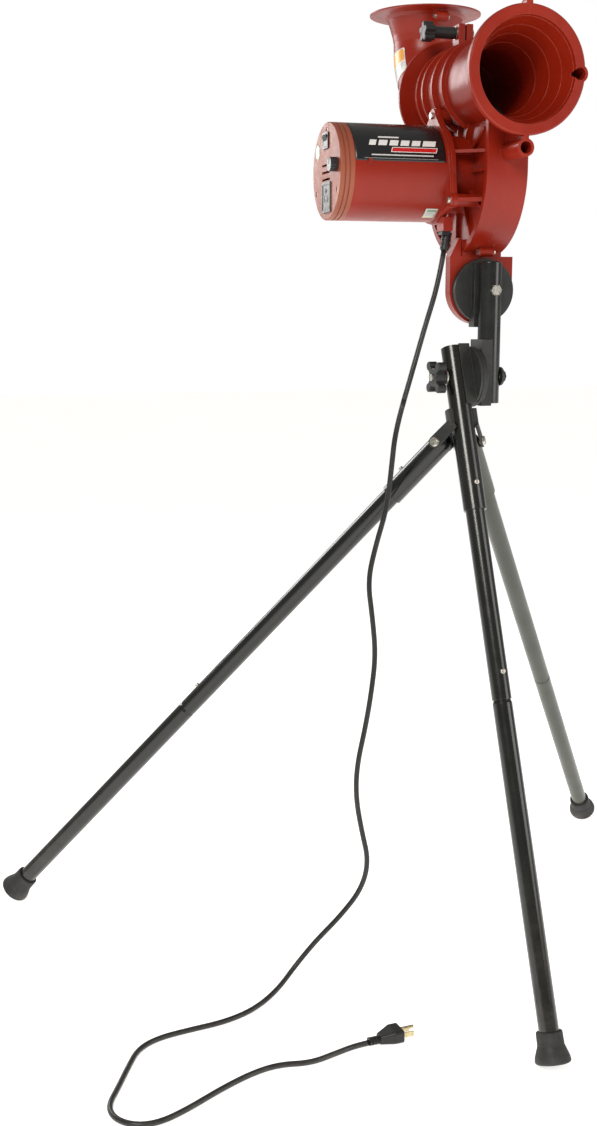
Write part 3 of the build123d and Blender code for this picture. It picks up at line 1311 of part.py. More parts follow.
with BuildPart() as chute_right_half:
    add(chute_body.part)
    split(bisect_by=side_plane(0), keep=Keep.TOP)
save(chute_right_half, "chute_right_half")

with BuildPart() as chute_screws:
    with BuildSketch(side_plane(-9)):
        with Locations(*CHUTE_LUGS):
            Circle(2.0)
    extrude(amount=18)
    with BuildSketch(side_plane(-9)):
        with Locations(*CHUTE_LUGS):
            Circle(4.0)
    extrude(amount=-2.4, taper=15)
    with BuildSketch(side_plane(9)):
        with Locations(*CHUTE_LUGS):
            RegularPolygon(4.2, 6)
    extrude(amount=2.6)
save(chute_screws, "chute_screws")

# ------------------------------------------------------------------ chute clamp
CLAMP_OUT = CLAMP_GAP / 2 + CLAMP_EAR
with BuildPart() as chute_clamp_bolt:
    with BuildSketch(side_plane(-CLAMP_OUT - 34)):
        with Locations((CLAMP_Y, CLAMP_Z)):
            Circle(CLAMP_BOLT_RADIUS)
    extrude(amount=2 * CLAMP_OUT + 34)
    with BuildSketch(side_plane(CLAMP_OUT)):
        with Locations((CLAMP_Y, CLAMP_Z)):
            RegularPolygon(5.8, 6)
    extrude(amount=4)
    with BuildSketch(side_plane(-CLAMP_OUT)):
        with Locations((CLAMP_Y, CLAMP_Z)):
            Circle(8.5)
    extrude(amount=-1.6)
save(chute_clamp_bolt, "chute_clamp_bolt")

SLEEVE_END = -CLAMP_OUT - 1.6 - JOINT_GAP
with BuildPart() as chute_clamp_knob:
    with BuildSketch(side_plane(SLEEVE_END)):
        with Locations((CLAMP_Y, CLAMP_Z)):
            Circle(7.8)
    extrude(amount=-32)
    with BuildSketch(side_plane(SLEEVE_END - 32)):
        with Locations((CLAMP_Y, CLAMP_Z)):
            Circle(9.5)
            with PolarLocations(9.5, 5, start_angle=90):
                Circle(4.2)
    extrude(amount=-14)
    fillet(chute_clamp_knob.faces().sort_by(Axis.X)[0].edges(), 1.2)
    with BuildSketch(side_plane(SLEEVE_END)):
        with Locations((CLAMP_Y, CLAMP_Z)):
            Circle(CLAMP_BOLT_RADIUS + FIT)
    extrude(amount=-36, mode=Mode.SUBTRACT)
save(chute_clamp_knob, "chute_clamp_knob")

# ------------------------------------------------------------------ cord
# listed for a strain relief 993 above the floor, and stretched upright to the machine's own
CORD_DROP = [
    (RELIEF[0], RELIEF[1], 993),
    (-65, 23, 948),
    (-86, 11, 897),
    (-107, 1, 838),
    (-119, -0.5, 799),
]
CORD_LEAD = [
    (-119, -0.5, 799),
    (-131, -2, 760),
    (-137, -5, 712),
    (-144, -8, 657),
    (-160, -9, 606),
    (-171, -11, 560),
    (-166, -17, 512),
    (-163, -23, 462),
    (-169, -26, 415),
    (-178, -28, 365),
    (-191, -31, 312),
    (-193, -34, 268),
    (-186, -39, 222),
    (-177, -43, 180),
    (-186, -41, 140),
    (-214, -34, 101),
    (-246, -26, 66),
    (-275, -25, 33),
    (-306, -45, 11),
    (-345, -74, CORD_RADIUS),
    (-390, -96, CORD_RADIUS),
    (-440, -104, CORD_RADIUS),
    (-482, -113, CORD_RADIUS),
    (-511, -133, CORD_RADIUS),
    (-529, -170, CORD_RADIUS),
    (-549, -215, CORD_RADIUS),
    (-566, -250, CORD_RADIUS),
    (-563, -278, CORD_RADIUS),
    (-543, -298, CORD_RADIUS),
    (-515, -300, CORD_RADIUS),
    (-480, -283, CORD_RADIUS),
    (-430, -250, CORD_RADIUS),
    (-385, -226, CORD_RADIUS),
    (-350, -217, CORD_RADIUS),
    (-312, -224, CORD_RADIUS),
    (-276, -211, CORD_RADIUS),
    (-246, -200, CORD_RADIUS),
    (-228, -198, CORD_RADIUS),
]
PLUG_AT = CORD_LEAD[-1]
CORD_STRETCH = (RELIEF[2] - CORD_RADIUS) / (993 - CORD_RADIUS)


def cord_at(x, y, z):
    return at(x, y, CORD_RADIUS + (z - CORD_RADIUS) * CORD_STRETCH)


def route_of(points):
    """The corners of a cord's route, with the largest arc that each pair of runs allows."""
    corners = [cord_at(*p) for p in points]
    radii = []
    for before, here, after in zip(corners, corners[1:], corners[2:]):
        turn = math.radians((here - before).get_angle(after - here))
        shorter = min((here - before).length, (after - here).length)
        radii.append(0.45 * shorter / math.tan(turn / 2))
    return corners, radii


def cord_tube(points):
    corners, radii = route_of(points)
    with BuildPart() as piece:
        with BuildLine() as route:
            FilletPolyline(*corners, radius=radii)
        start = corners[1] - corners[0]
        with BuildSketch(Plane(origin=corners[0], z_dir=start)):
            Circle(CORD_RADIUS)
        sweep(path=route.wires()[0])
    print("cord length", round(route.wires()[0].length, 1), "least radius", round(min(radii), 1))
    return piece


save(cord_tube(CORD_DROP), "power_cord_drop")
save(cord_tube(CORD_LEAD), "power_cord_lead")

# ribbed strain relief that hangs from the block under the motor flange
RELIEF_WAY = (cord_at(*CORD_DROP[1]) - cord_at(*CORD_DROP[0])).normalized()
RELIEF_LENGTH = (RELIEF_TOP - RELIEF[2]) / -RELIEF_WAY.Z
RELIEF_HEAD = at(*RELIEF) - RELIEF_WAY * RELIEF_LENGTH
with BuildPart() as cord_strain_relief:
    with BuildSketch(Plane(origin=at(*RELIEF), z_dir=RELIEF_WAY * -1)):
        Circle(CORD_RADIUS + 1.4)
    extrude(amount=RELIEF_LENGTH - 6, taper=-4)
    for step in (2, 7.5, 13):
        with BuildSketch(Plane(origin=at(*RELIEF) - RELIEF_WAY * step, z_dir=RELIEF_WAY * -1)):
            Circle(CORD_RADIUS + 2.4 + step * 0.08)
        extrude(amount=2.6)
    with BuildSketch(level_plane(RELIEF_TOP - 8.5)):
        with Locations((RELIEF[0] + 0.5, RELIEF[1] + 1)):
            Rectangle(11.6, 14)
    extrude(amount=4.5)
    with BuildSketch(level_plane(RELIEF_TOP - 4)):
        with Locations((RELIEF[0], RELIEF[1])):
            Circle(RELIEF_STEM)
    extrude(amount=12)
save(cord_strain_relief, "cord_strain_relief")

# plug that lies flat on the floor
PLUG_WAY = (at(*CORD_LEAD[-1]) - at(*CORD_LEAD[-2])).normalized()
PLUG_SIDE = UP.cross(PLUG_WAY)
PLUG_RISE = 8.5


def plug_plane(s):
    """Square to the plug, s from the cord's end; local x is across and local y is up."""
    return Plane(origin=at(*PLUG_AT) + PLUG_WAY * s, x_dir=PLUG_SIDE, z_dir=PLUG_WAY)


with BuildPart() as plug_body:
    with BuildSketch(plug_plane(0)):
        with Locations((0, 1.5)):
            Ellipse(6.2, 4.9)
    extrude(amount=15)
    for step in (2.6, 6.6, 10.6):
        with BuildSketch(plug_plane(step)):
            with Locations((0, 5)):
                Rectangle(14, 16)
            with Locations((0, 1.5)):
                Ellipse(4.4, 3.9, mode=Mode.SUBTRACT)
        extrude(amount=1.6, mode=Mode.SUBTRACT)
    with BuildSketch(plug_plane(14)):
        with Locations((0, 2.4)):
            RectangleRounded(14, 11, 3)
    with BuildSketch(plug_plane(32)):
        with Locations((0, PLUG_RISE - 3.5)):
            RectangleRounded(27, 16.6, 4)
    loft()
    with BuildSketch(plug_plane(32)):
        with Locations((0, PLUG_RISE - 3.5)):
            RectangleRounded(27, 16.6, 4)
    extrude(amount=12)
    fillet(plug_body.faces().sort_by(Axis(at(*PLUG_AT), PLUG_WAY))[-1].edges(), 1.0)
save(plug_body, "plug_body")

with BuildPart() as plug_blades:
    with BuildSketch(plug_plane(44)):
        with Locations((-6.35, PLUG_RISE - 4.5), (6.35, PLUG_RISE - 4.5)):
            Rectangle(1.5, 6.3)
    extrude(amount=16)
    with BuildSketch(plug_plane(44)):
        with Locations((0, PLUG_RISE + 1.2)):
            Circle(2.4)
    extrude(amount=18)
save(plug_blades, "plug_blades")
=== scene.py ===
"""Looks of the baseball pitching machine: materials, labels, cord, light and camera.

Metres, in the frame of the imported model: +Z up, the muzzle faces -Y and the motor is on the -X side.
"""

import json
import math

import bmesh
import bpy
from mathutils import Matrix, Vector


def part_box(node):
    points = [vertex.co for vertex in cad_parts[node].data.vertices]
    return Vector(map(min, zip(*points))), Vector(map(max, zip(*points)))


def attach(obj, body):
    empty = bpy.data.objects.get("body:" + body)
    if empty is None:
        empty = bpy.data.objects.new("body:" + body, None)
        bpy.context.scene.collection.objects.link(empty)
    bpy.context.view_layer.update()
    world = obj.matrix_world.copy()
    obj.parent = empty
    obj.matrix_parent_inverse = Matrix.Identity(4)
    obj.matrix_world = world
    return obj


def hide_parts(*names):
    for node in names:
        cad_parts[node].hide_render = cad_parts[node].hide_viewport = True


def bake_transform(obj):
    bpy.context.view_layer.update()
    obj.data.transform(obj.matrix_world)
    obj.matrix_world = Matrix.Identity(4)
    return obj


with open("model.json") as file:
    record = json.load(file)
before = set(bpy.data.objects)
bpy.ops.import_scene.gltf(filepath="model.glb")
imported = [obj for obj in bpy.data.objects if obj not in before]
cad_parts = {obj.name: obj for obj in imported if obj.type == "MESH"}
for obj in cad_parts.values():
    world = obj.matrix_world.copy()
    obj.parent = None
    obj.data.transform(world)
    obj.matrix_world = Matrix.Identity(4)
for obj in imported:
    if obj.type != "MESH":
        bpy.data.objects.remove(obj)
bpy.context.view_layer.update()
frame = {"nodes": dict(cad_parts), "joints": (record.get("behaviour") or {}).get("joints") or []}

NODES = frame["nodes"]
JOINTS = {joint["name"]: joint for joint in frame["joints"]}
MM = 0.001

PIVOT = Vector(JOINTS["mast_tilt"]["pos_m"])
MAST = Vector((PIVOT.x, PIVOT.y, 0))            # foot of the mast's axis: routes are measured from it
AXLE = Vector(JOINTS["wheel_spin"]["pos_m"])    # the motor's axis runs through it, along X


def from_mast(x, y, z):
    """A point given in millimetres from the foot of the mast's axis."""
    return MAST + Vector((x, y, z)) * MM


# ------------------------------------------------------------------ materials
class Paint:
    """A node material on one Principled shader, with helpers that add one effect each."""

    def __init__(self, name):
        self.material = bpy.data.materials.new(name)
        self.material.use_nodes = True
        self.tree = self.material.node_tree
        self.shader = self.tree.nodes["Principled BSDF"]
        self.place = self.node("ShaderNodeTexCoord").outputs["Object"]
        self.normal = None
        self.colour = None

    def node(self, kind, **settings):
        made = self.tree.nodes.new(kind)
        for key, value in settings.items():
            setattr(made, key, value)
        return made

    def link(self, start, end):
        self.tree.links.new(start, end)

    def set(self, **values):
        for key, value in values.items():
            self.shader.inputs[key.replace("_", " ")].default_value = value

    def noise(self, scale, detail=3.0, roughness=0.55, stretch=None):
        made = self.node("ShaderNodeTexNoise")
        made.inputs["Scale"].default_value = scale
        made.inputs["Detail"].default_value = detail
        made.inputs["Roughness"].default_value = roughness
        source = self.place
        if stretch:
            mapping = self.node("ShaderNodeMapping")
            mapping.inputs["Scale"].default_value = stretch
            self.link(source, mapping.inputs["Vector"])
            source = mapping.outputs["Vector"]
        self.link(source, made.inputs["Vector"])
        return made.outputs["Fac"]

    def ramp(self, source, low, high, to_low=0.0, to_high=1.0):
        made = self.node("ShaderNodeMapRange", clamp=True)
        for key, value in (("From Min", low), ("From Max", high), ("To Min", to_low), ("To Max", to_high)):
            made.inputs[key].default_value = value
        self.link(source, made.inputs["Value"])
        return made.outputs["Result"]

    def math(self, operation, first, second):
        made = self.node("ShaderNodeMath", operation=operation, use_clamp=True)
        for socket, value in zip(made.inputs, (first, second)):
            if isinstance(value, (int, float)):
                socket.default_value = value
            else:
                self.link(value, socket)
        return made.outputs["Value"]

    def mix(self, factor, first, second):
        made = self.node("ShaderNodeMix", data_type="RGBA")
        self.link(factor, made.inputs["Factor"])
        for name, value in (("A", first), ("B", second)):
            socket = [s for s in made.inputs if s.name == name and s.type == "RGBA"][0]
            if isinstance(value, tuple):
                socket.default_value = (*value, 1.0)
            else:
                self.link(value, socket)
        return [s for s in made.outputs if s.type == "RGBA"][0]

    def mottle(self, dark, light, scale):
        """The base colour drifts slowly between two shades."""
        self.colour = self.mix(self.ramp(self.noise(scale, 2.0), 0.32, 0.68), dark, light)

    def specks(self, colour, scale, amount):
        """Fine specks of another colour over what is there."""
        mask = self.ramp(self.noise(scale, 2.0, 0.7), 0.62, 0.74, 0.0, amount)
        self.colour = self.mix(mask, self.colour, colour)

    def round_edges(self, radius):
        """Edges catch the light as moulded and pressed edges do."""
        made = self.node("ShaderNodeBevel", samples=6)
        made.inputs["Radius"].default_value = radius
        self.normal = made.outputs["Normal"]

    def wear(self, colour, width, amount, scale=90.0):
        """Edges are rubbed, in patches."""
        bevel = self.node("ShaderNodeBevel", samples=6)
        bevel.inputs["Radius"].default_value = width
        flat = self.node("ShaderNodeNewGeometry").outputs["Normal"]
        dot = self.node("ShaderNodeVectorMath", operation="DOT_PRODUCT")
        self.link(bevel.outputs["Normal"], dot.inputs[0])
        self.link(flat, dot.inputs[1])
        edge = self.ramp(dot.outputs["Value"], 0.97, 0.80)
        patch = self.ramp(self.noise(scale, 4.0, 0.65), 0.38, 0.62)
        mask = self.math("MULTIPLY", self.math("MULTIPLY", edge, patch), amount)
        self.colour = self.mix(mask, self.colour, colour)

    def dust(self, colour, amount, height, fade):
        """Dust that thins with height above the floor."""
        split = self.node("ShaderNodeSeparateXYZ")
        self.link(self.place, split.inputs["Vector"])
        low = self.ramp(split.outputs["Z"], height + fade, height)
        patch = self.ramp(self.noise(55.0, 5.0, 0.7), 0.35, 0.7)
        mask = self.math("MULTIPLY", self.math("MULTIPLY", low, patch), amount)
        self.colour = self.mix(mask, self.colour, colour)

    def gloss(self, low, high, scale, stretch=None):
        """Roughness drifts between two values."""
        self.link(self.ramp(self.noise(scale, 4.0, stretch=stretch), 0.3, 0.7, low, high),
                  self.shader.inputs["Roughness"])

    def bump(self, scale, depth, detail=3.0, stretch=None):
        """Surface relief, depth in metres."""
        made = self.node("ShaderNodeBump")
        made.inputs["Distance"].default_value = depth
        made.inputs["Strength"].default_value = 1.0
        self.link(self.noise(scale, detail, stretch=stretch), made.inputs["Height"])
        if self.normal:
            self.link(self.normal, made.inputs["Normal"])
        self.normal = made.outputs["Normal"]

    def done(self):
        if self.colour:
            self.link(self.colour, self.shader.inputs["Base Color"])
        if self.normal:
            self.link(self.normal, self.shader.inputs["Normal"])
        return self.material


def red_plastic(name, dark, light, gloss):
    """Moulded ABS: fine orange peel, faint flow marks, paler edges, partly rubbed and partly a painted
    highlight along the rims.
    """
    paint = Paint(name)
    paint.mottle(dark, light, 9.0)
    paint.specks(tuple(0.8 * c for c in dark), 900.0, 0.35)
    # pale orange edges in patches: partly rubbing, partly a painted highlight along the rims
    paint.wear((0.60, 0.11, 0.05), 1.2 * MM, 0.3)
    paint.gloss(gloss[0], gloss[1], 60.0)
    paint.round_edges(0.9 * MM)
    paint.bump(24.0, 0.5 * MM, 2.0)
    paint.bump(1300.0, 0.018 * MM)
    paint.set(Specular_IOR_Level=0.36, Coat_Weight=0.05, Coat_Roughness=0.2, Subsurface_Weight=0.03,
              Subsurface_Scale=0.004)
    paint.shader.inputs["Subsurface Radius"].default_value = (1.0, 0.25, 0.12)
    return paint.done()


def powder_coat(name, dark, light, gloss):
    """Glossy powder coat on drawn tube: orange peel, scuffs at the ends, dust near the floor."""
    paint = Paint(name)
    paint.mottle(dark, light, 14.0)
    paint.specks((0.09, 0.09, 0.08), 420.0, 0.16)
    paint.wear((0.16, 0.155, 0.14), 1.0 * MM, 0.6, 160.0)
    paint.dust((0.17, 0.155, 0.125), 0.22, 0.03, 0.22)
    paint.gloss(gloss[0], gloss[1], 35.0)
    paint.round_edges(0.5 * MM)
    paint.bump(420.0, 0.035 * MM, 2.0)
    paint.set(Coat_Weight=0.35, Coat_Roughness=0.16)
    return paint.done()


def textured_metal(name):
    """Brackets and discs: coarse matt powder coat."""
    paint = Paint(name)
    paint.mottle((0.013, 0.014, 0.013), (0.026, 0.027, 0.024), 30.0)
    paint.specks((0.10, 0.10, 0.09), 1100.0, 0.3)
    paint.wear((0.20, 0.19, 0.17), 1.0 * MM, 0.55, 130.0)
    paint.gloss(0.42, 0.62, 80.0)
    paint.round_edges(0.7 * MM)
    paint.bump(900.0, 0.09 * MM, 4.0)
    return paint.done()


def black_plastic(name, shade, gloss):
    """Small moulded fittings: spark-eroded grain, greyed corners."""
    paint = Paint(name)
    paint.mottle(tuple(0.8 * shade for _ in range(3)), tuple(1.35 * shade for _ in range(3)), 70.0)
    paint.specks((0.12, 0.12, 0.12), 2200.0, 0.25)
    paint.wear((0.10, 0.10, 0.095), 0.5 * MM, 0.3, 240.0)
    paint.gloss(gloss[0], gloss[1], 150.0)
    paint.round_edges(0.4 * MM)
    paint.bump(2400.0, 0.03 * MM)
    return paint.done()


def rubber(name, dark, light, dusty):
    """Moulded rubber: matt, cloudy with bloom, dusty where it meets the floor."""
    paint = Paint(name)
    paint.mottle(dark, light, 45.0)
    paint.specks((0.16, 0.155, 0.15), 700.0, 0.3)
    paint.wear((0.15, 0.147, 0.14), 1.6 * MM, 0.5, 110.0)
    if dusty:
        paint.dust((0.24, 0.22, 0.18), 0.5, 0.0, 0.018)
    paint.gloss(0.55, 0.8, 60.0)
    paint.round_edges(0.8 * MM)
    paint.bump(160.0, 0.12 * MM, 5.0)
    paint.bump(1500.0, 0.03 * MM)
    return paint.done()


def plated_steel(name, dark, light, gloss, stretch=None):
    """Bare metal: turned or brushed, cloudy from handling."""
    paint = Paint(name)
    paint.mottle(dark, light, 180.0)
    paint.specks(tuple(0.45 * c for c in dark), 800.0, 0.4)
    paint.gloss(gloss[0], gloss[1], 500.0, stretch)
    paint.round_edges(0.35 * MM)
    paint.bump(1200.0, 0.02 * MM, 3.0, stretch)
    paint.set(Metallic=1.0)
    return paint.done()


def vinyl_cord(name):
    """Cord jacket: extruded vinyl with faint lengthwise drag marks and scuffs."""
    paint = Paint(name)
    paint.mottle((0.010, 0.010, 0.010), (0.022, 0.022, 0.021), 22.0)
    paint.specks((0.10, 0.10, 0.095), 500.0, 0.22)
    paint.dust((0.15, 0.14, 0.12), 0.3, 0.0, 0.03)
    paint.gloss(0.28, 0.46, 90.0)
    paint.bump(260.0, 0.05 * MM, 2.0)
    paint.bump(1800.0, 0.02 * MM)
    return paint.done()


def winding(name):
    """Motor core: copper wire ends and dark laminations."""
    paint = Paint(name)
    paint.mottle((0.05, 0.045, 0.04), (0.28, 0.11, 0.04), 220.0)
    paint.gloss(0.35, 0.6, 90.0)
    paint.bump(500.0, 0.2 * MM, 2.0, (1.0, 1.0, 12.0))
    paint.set(Metallic=0.6)
    return paint.done()


def board(name):
    """Circuit board: green lacquer with gold pads."""
    paint = Paint(name)
    paint.mottle((0.012, 0.07, 0.025), (0.03, 0.13, 0.05), 140.0)
    paint.specks((0.5, 0.38, 0.12), 420.0, 0.8)
    paint.gloss(0.3, 0.5, 200.0)
    paint.bump(900.0, 0.05 * MM)
    return paint.done()


RED = red_plastic("red_abs", (0.235, 0.011, 0.003), (0.31, 0.018, 0.005), (0.28, 0.40))
# the end panel's red is paler and tan: painted light, the warm light that falls on the panel painted into
# its colour
PAINTED_LIGHT_PANEL_RED = red_plastic("red_abs_end_panel_painted_light", (0.28, 0.070, 0.036), (0.35, 0.10, 0.052), (0.38, 0.52))
BLACK = powder_coat("black_powder_coat", (0.0030, 0.0034, 0.0026), (0.0070, 0.0078, 0.0058), (0.16, 0.30))
OLIVE_BLACK = powder_coat("black_powder_coat_rear", (0.030, 0.034, 0.022), (0.050, 0.055, 0.038),
                          (0.26, 0.42))
TEXTURED = textured_metal("black_textured_metal")
FITTING = black_plastic("black_nylon", 0.014, (0.34, 0.52))
SATIN = black_plastic("black_switch_plastic", 0.022, (0.22, 0.36))
OUTLET = black_plastic("grey_outlet_plastic", 0.07, (0.28, 0.42))
FOOT = rubber("foot_rubber", (0.018, 0.018, 0.018), (0.042, 0.042, 0.041), True)
TYRE = rubber("tyre_rubber", (0.03, 0.03, 0.03), (0.06, 0.06, 0.058), False)
ZINC = plated_steel("zinc_plated_steel", (0.50, 0.47, 0.40), (0.74, 0.71, 0.64), (0.20, 0.42))
BRASS = plated_steel("plug_brass", (0.62, 0.50, 0.27), (0.80, 0.70, 0.44), (0.16, 0.34), (1.0, 8.0, 8.0))
ALUMINIUM = plated_steel("turned_aluminium", (0.50, 0.51, 0.52), (0.66, 0.67, 0.68), (0.22, 0.38),
                         (12.0, 1.0, 1.0))
CORD = vinyl_cord("cord_vinyl")
WINDING = winding("motor_winding")
BOARD = board("circuit_board")

LOOKS = {
    RED: ("pivot_bracket", "housing_motor_side", "housing_outer_side", "motor_can", "chute_left_half",
          "chute_right_half"),
    PAINTED_LIGHT_PANEL_RED: ("motor_end_cap",),
    BLACK: ("front_leg_upper", "front_leg_middle", "front_leg_lower", "left_leg_upper", "left_leg_middle",
            "left_leg_lower", "mast_tube"),
    OLIVE_BLACK: ("rear_leg_upper", "rear_leg_middle", "rear_leg_lower"),
    TEXTURED: ("leg_hinge_bracket", "tilt_disc_leg", "tilt_disc_mast", "roll_disc"),
    FITTING: ("tilt_knob", "chute_clamp_knob", "cord_strain_relief", "plug_body"),
    SATIN: ("power_switch_frame", "power_rocker", "speed_control", "speed_knob"),
    OUTLET: ("feeder_outlet",),
    FOOT: ("front_leg_foot", "left_leg_foot", "rear_leg_foot"),
    TYRE: ("wheel_tyre",),
    ALUMINIUM: ("wheel_hub",),
    BRASS: ("plug_blades",),
    WINDING: ("motor_core",),
    BOARD: ("control_board",),
    CORD: ("power_cord_drop", "power_cord_lead"),
}


def dress(node, material):
    mesh = NODES[node].data
    mesh.materials.clear()
    mesh.materials.append(material)


for node in NODES:
    dress(node, ZINC)          # screws, bolts, buttons, shaft and bearings
for material, names in LOOKS.items():
    for node in names:
        dress(node, material)

# the tilt bolt's nut, beyond the mast, is blackened
nut = NODES["tilt_bolt"].data
nut.materials.append(TEXTURED)
for polygon in nut.polygons:
    if polygon.center.x > PIVOT.x:
        polygon.material_index = 1


# ------------------------------------------------------------------ labels and stickers
def patch(name, width, height, corners, place, body, material, step=3.0, slot="black_plastic"):
    """A thin printed sheet with rounded corners, laid on a surface.

    width and height are in millimetres; corners gives the four corner radii from the lower left
    round to the upper left; place turns a flat point (u, v) in millimetres into a point in space.
    """
    mesh = bpy.data.meshes.new(name)
    flat = bmesh.new()
    outline = []
    centres = ((0, 0, 180), (width, 0, 270), (width, height, 0), (0, height, 90))
    for (u, v, start), radius in zip(centres, corners):
        inward_u = radius if u == 0 else -radius
        inward_v = radius if v == 0 else -radius
        for turn in (0, 15, 30, 45, 60, 75, 90) if radius else (0,):
            angle = math.radians(start + turn)
            along = u + inward_u + radius * math.cos(angle)
            up = v + inward_v + radius * math.sin(angle)
            outline.append((along, up))
    flat.faces.new([flat.verts.new((u, v, 0)) for u, v in outline])
    for axis, length in ((Vector((1, 0, 0)), width), (Vector((0, 1, 0)), height)):
        cuts = max(1, int(length / step))
        for i in range(1, cuts):
            geometry = flat.verts[:] + flat.edges[:] + flat.faces[:]
            bmesh.ops.bisect_plane(flat, geom=geometry, plane_co=axis * (length * i / cuts), plane_no=axis)
    layer = flat.loops.layers.uv.new("UVMap")
    for face in flat.faces:
        for loop in face.loops:
            loop[layer].uv = (loop.vert.co.x / width, loop.vert.co.y / height)
    for vertex in flat.verts:
        vertex.co = place(vertex.co.x, vertex.co.y)
    flat.normal_update()
    flat.to_mesh(mesh)
    flat.free()
    made = bpy.data.objects.new(name, mesh)
    bpy.context.collection.objects.link(made)
    for polygon in mesh.polygons:
        polygon.use_smooth = True
    mesh.materials.append(material)
    sheet = made.modifiers.new("thickness", "SOLIDIFY")
    sheet.thickness = 0.12 * MM
    sheet.offset = 0.0
    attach(made, body)
    return made


class Print(Paint):
    """A printed sheet: shapes are drawn over its colour by their place on the sheet, 0 to 1."""

    def __init__(self, name, width, height, ground):
        super().__init__(name)
        self.size = (width, height)
        split = self.node("ShaderNodeSeparateXYZ")
        self.link(self.node("ShaderNodeTexCoord").outputs["UV"], split.inputs["Vector"])
        self.u = self.scaled(split.outputs["X"], width)
        self.v = self.scaled(split.outputs["Y"], height)
        self.mottle(tuple(0.86 * c for c in ground), ground, 60.0)

    def scaled(self, source, length):
        made = self.node("ShaderNodeMath", operation="MULTIPLY")
        made.inputs[1].default_value = length
        self.link(source, made.inputs[0])
        return made.outputs["Value"]

    def within(self, source, low, high):
        above = self.node("ShaderNodeMath", operation="GREATER_THAN")
        above.inputs[1].default_value = low
        self.link(source, above.inputs[0])
        below = self.node("ShaderNodeMath", operation="LESS_THAN")
        below.inputs[1].default_value = high
        self.link(source, below.inputs[0])
        return self.math("MULTIPLY", above.outputs["Value"], below.outputs["Value"])

    def sheared(self, slope):
        """u, leaning with height."""
        lean = self.scaled(self.v, slope)
        made = self.node("ShaderNodeMath", operation="SUBTRACT")
        self.link(self.u, made.inputs[0])
        self.link(lean, made.inputs[1])
        return made.outputs["Value"]

    def bar(self, colour, low_u, high_u, low_v, high_v, slope=0.0):
        across = self.sheared(slope) if slope else self.u
        mask = self.math("MULTIPLY", self.within(across, low_u, high_u), self.within(self.v, low_v, high_v))
        self.colour = self.mix(mask, self.colour, colour)

    def ring(self, colour, at_u, at_v, inner, outer):
        place = self.node("ShaderNodeCombineXYZ")
        self.link(self.u, place.inputs["X"])
        self.link(self.v, place.inputs["Y"])
        distance = self.node("ShaderNodeVectorMath", operation="DISTANCE")
        self.link(place.outputs["Vector"], distance.inputs[0])
        distance.inputs[1].default_value = (at_u, at_v, 0)
        self.colour = self.mix(self.within(distance.outputs["Value"], inner, outer), self.colour, colour)

    def finished(self, low, high):
        self.specks((0.5, 0.5, 0.5), 1500.0, 0.10)
        self.gloss(low, high, 120.0)
        self.bump(700.0, 0.02 * MM)
        self.set(Coat_Weight=0.4, Coat_Roughness=0.12)
        return self.done()


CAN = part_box("motor_can")
CAN_RADIUS = 62.0 * MM         # the can's round wall
WRAP_RADIUS = (CAN[1].z - CAN[0].z) / 2     # half the whole can's height; sets how far a sheet wraps
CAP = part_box("motor_end_cap")
LIFT = 0.25 * MM               # a sheet's middle stands this far off what it is stuck to

WHITE_INK = (0.80, 0.80, 0.78)
RED_INK = (0.55, 0.012, 0.012)

# main label: a black sheet round the front and top of the can, with a plain striped pattern
LABEL_START = -189.5           # from the mast's axis, along X
LABEL_WIDTH = 123.0
LABEL_HEIGHT = 88.0
LABEL_LOW = 8.5                # degrees above the front
LABEL_BLACK = (0.006, 0.006, 0.007)


def on_can(start, low_angle):
    """Places a sheet round the can, from start along X and low_angle degrees above the front."""
    def place(u, v):
        angle = math.radians(low_angle) + v * MM / WRAP_RADIUS
        out = CAN_RADIUS + LIFT
        y = AXLE.y - out * math.cos(angle)
        z = AXLE.z + out * math.sin(angle)
        return Vector((MAST.x + (start + u) * MM, y, z))
    return place


label_print = Print("label_print", LABEL_WIDTH, LABEL_HEIGHT, LABEL_BLACK)
label_print.bar(WHITE_INK, 12, 102, 25, 35, 0.3)
for start in (21, 36, 51, 66, 81):
    label_print.bar(LABEL_BLACK, start, start + 3.5, 24, 36, 0.3)
label_print.bar(WHITE_INK, 44, 106, 14.0, 22.5, 0.3)
label_print.bar(RED_INK, 45, 105, 15.0, 21.5, 0.3)
label_print.bar(WHITE_INK, 22, 50, 39, 42, 0.3)
label_print.bar((0.6, 0.6, 0.58), 20, 104, 8.2, 10.2, 0.2)
label_print.bar((0.30, 0.30, 0.29), 12, 112, 3.6, 4.4)
patch("motor_label", LABEL_WIDTH, LABEL_HEIGHT, (4, 1, 1, 4), on_can(LABEL_START, LABEL_LOW), "head",
      label_print.finished(0.22, 0.34))

# small rating sticker under the can, beside the flange
RATING_WIDTH = 17
RATING_HEIGHT = 24
RATING_START = -85.0
RATING_LOW = -68.0
rating_print = Print("rating_print", RATING_WIDTH, RATING_HEIGHT, (0.50, 0.53, 0.47))
rating_print.bar((0.18, 0.30, 0.20), 2, 15, 17, 21)
rating_print.bar((0.30, 0.32, 0.30), 2, 12, 12, 13.4)
rating_print.bar((0.30, 0.32, 0.30), 2, 14, 8.5, 9.6)
rating_print.bar((0.62, 0.55, 0.20), 2, 8, 2, 6)
patch("rating_sticker", RATING_WIDTH, RATING_HEIGHT, (1, 1, 1, 1), on_can(RATING_START, RATING_LOW), "head",
      rating_print.finished(0.3, 0.45), slot="zinc_steel")

# round quality sticker on the end panel
QUALITY_RADIUS = 10
QUALITY_SIZE = 2 * QUALITY_RADIUS
quality_print = Print("quality_print", QUALITY_SIZE, QUALITY_SIZE, (0.56, 0.66, 0.48))
quality_print.ring((0.24, 0.40, 0.24), QUALITY_RADIUS, QUALITY_RADIUS, 7.6, 8.5)
quality_print.bar((0.25, 0.40, 0.27), 4.5, 15.5, 9.0, 11.0)
QUALITY_AT = (39.5, 27.7)      # across and up from the motor's axis


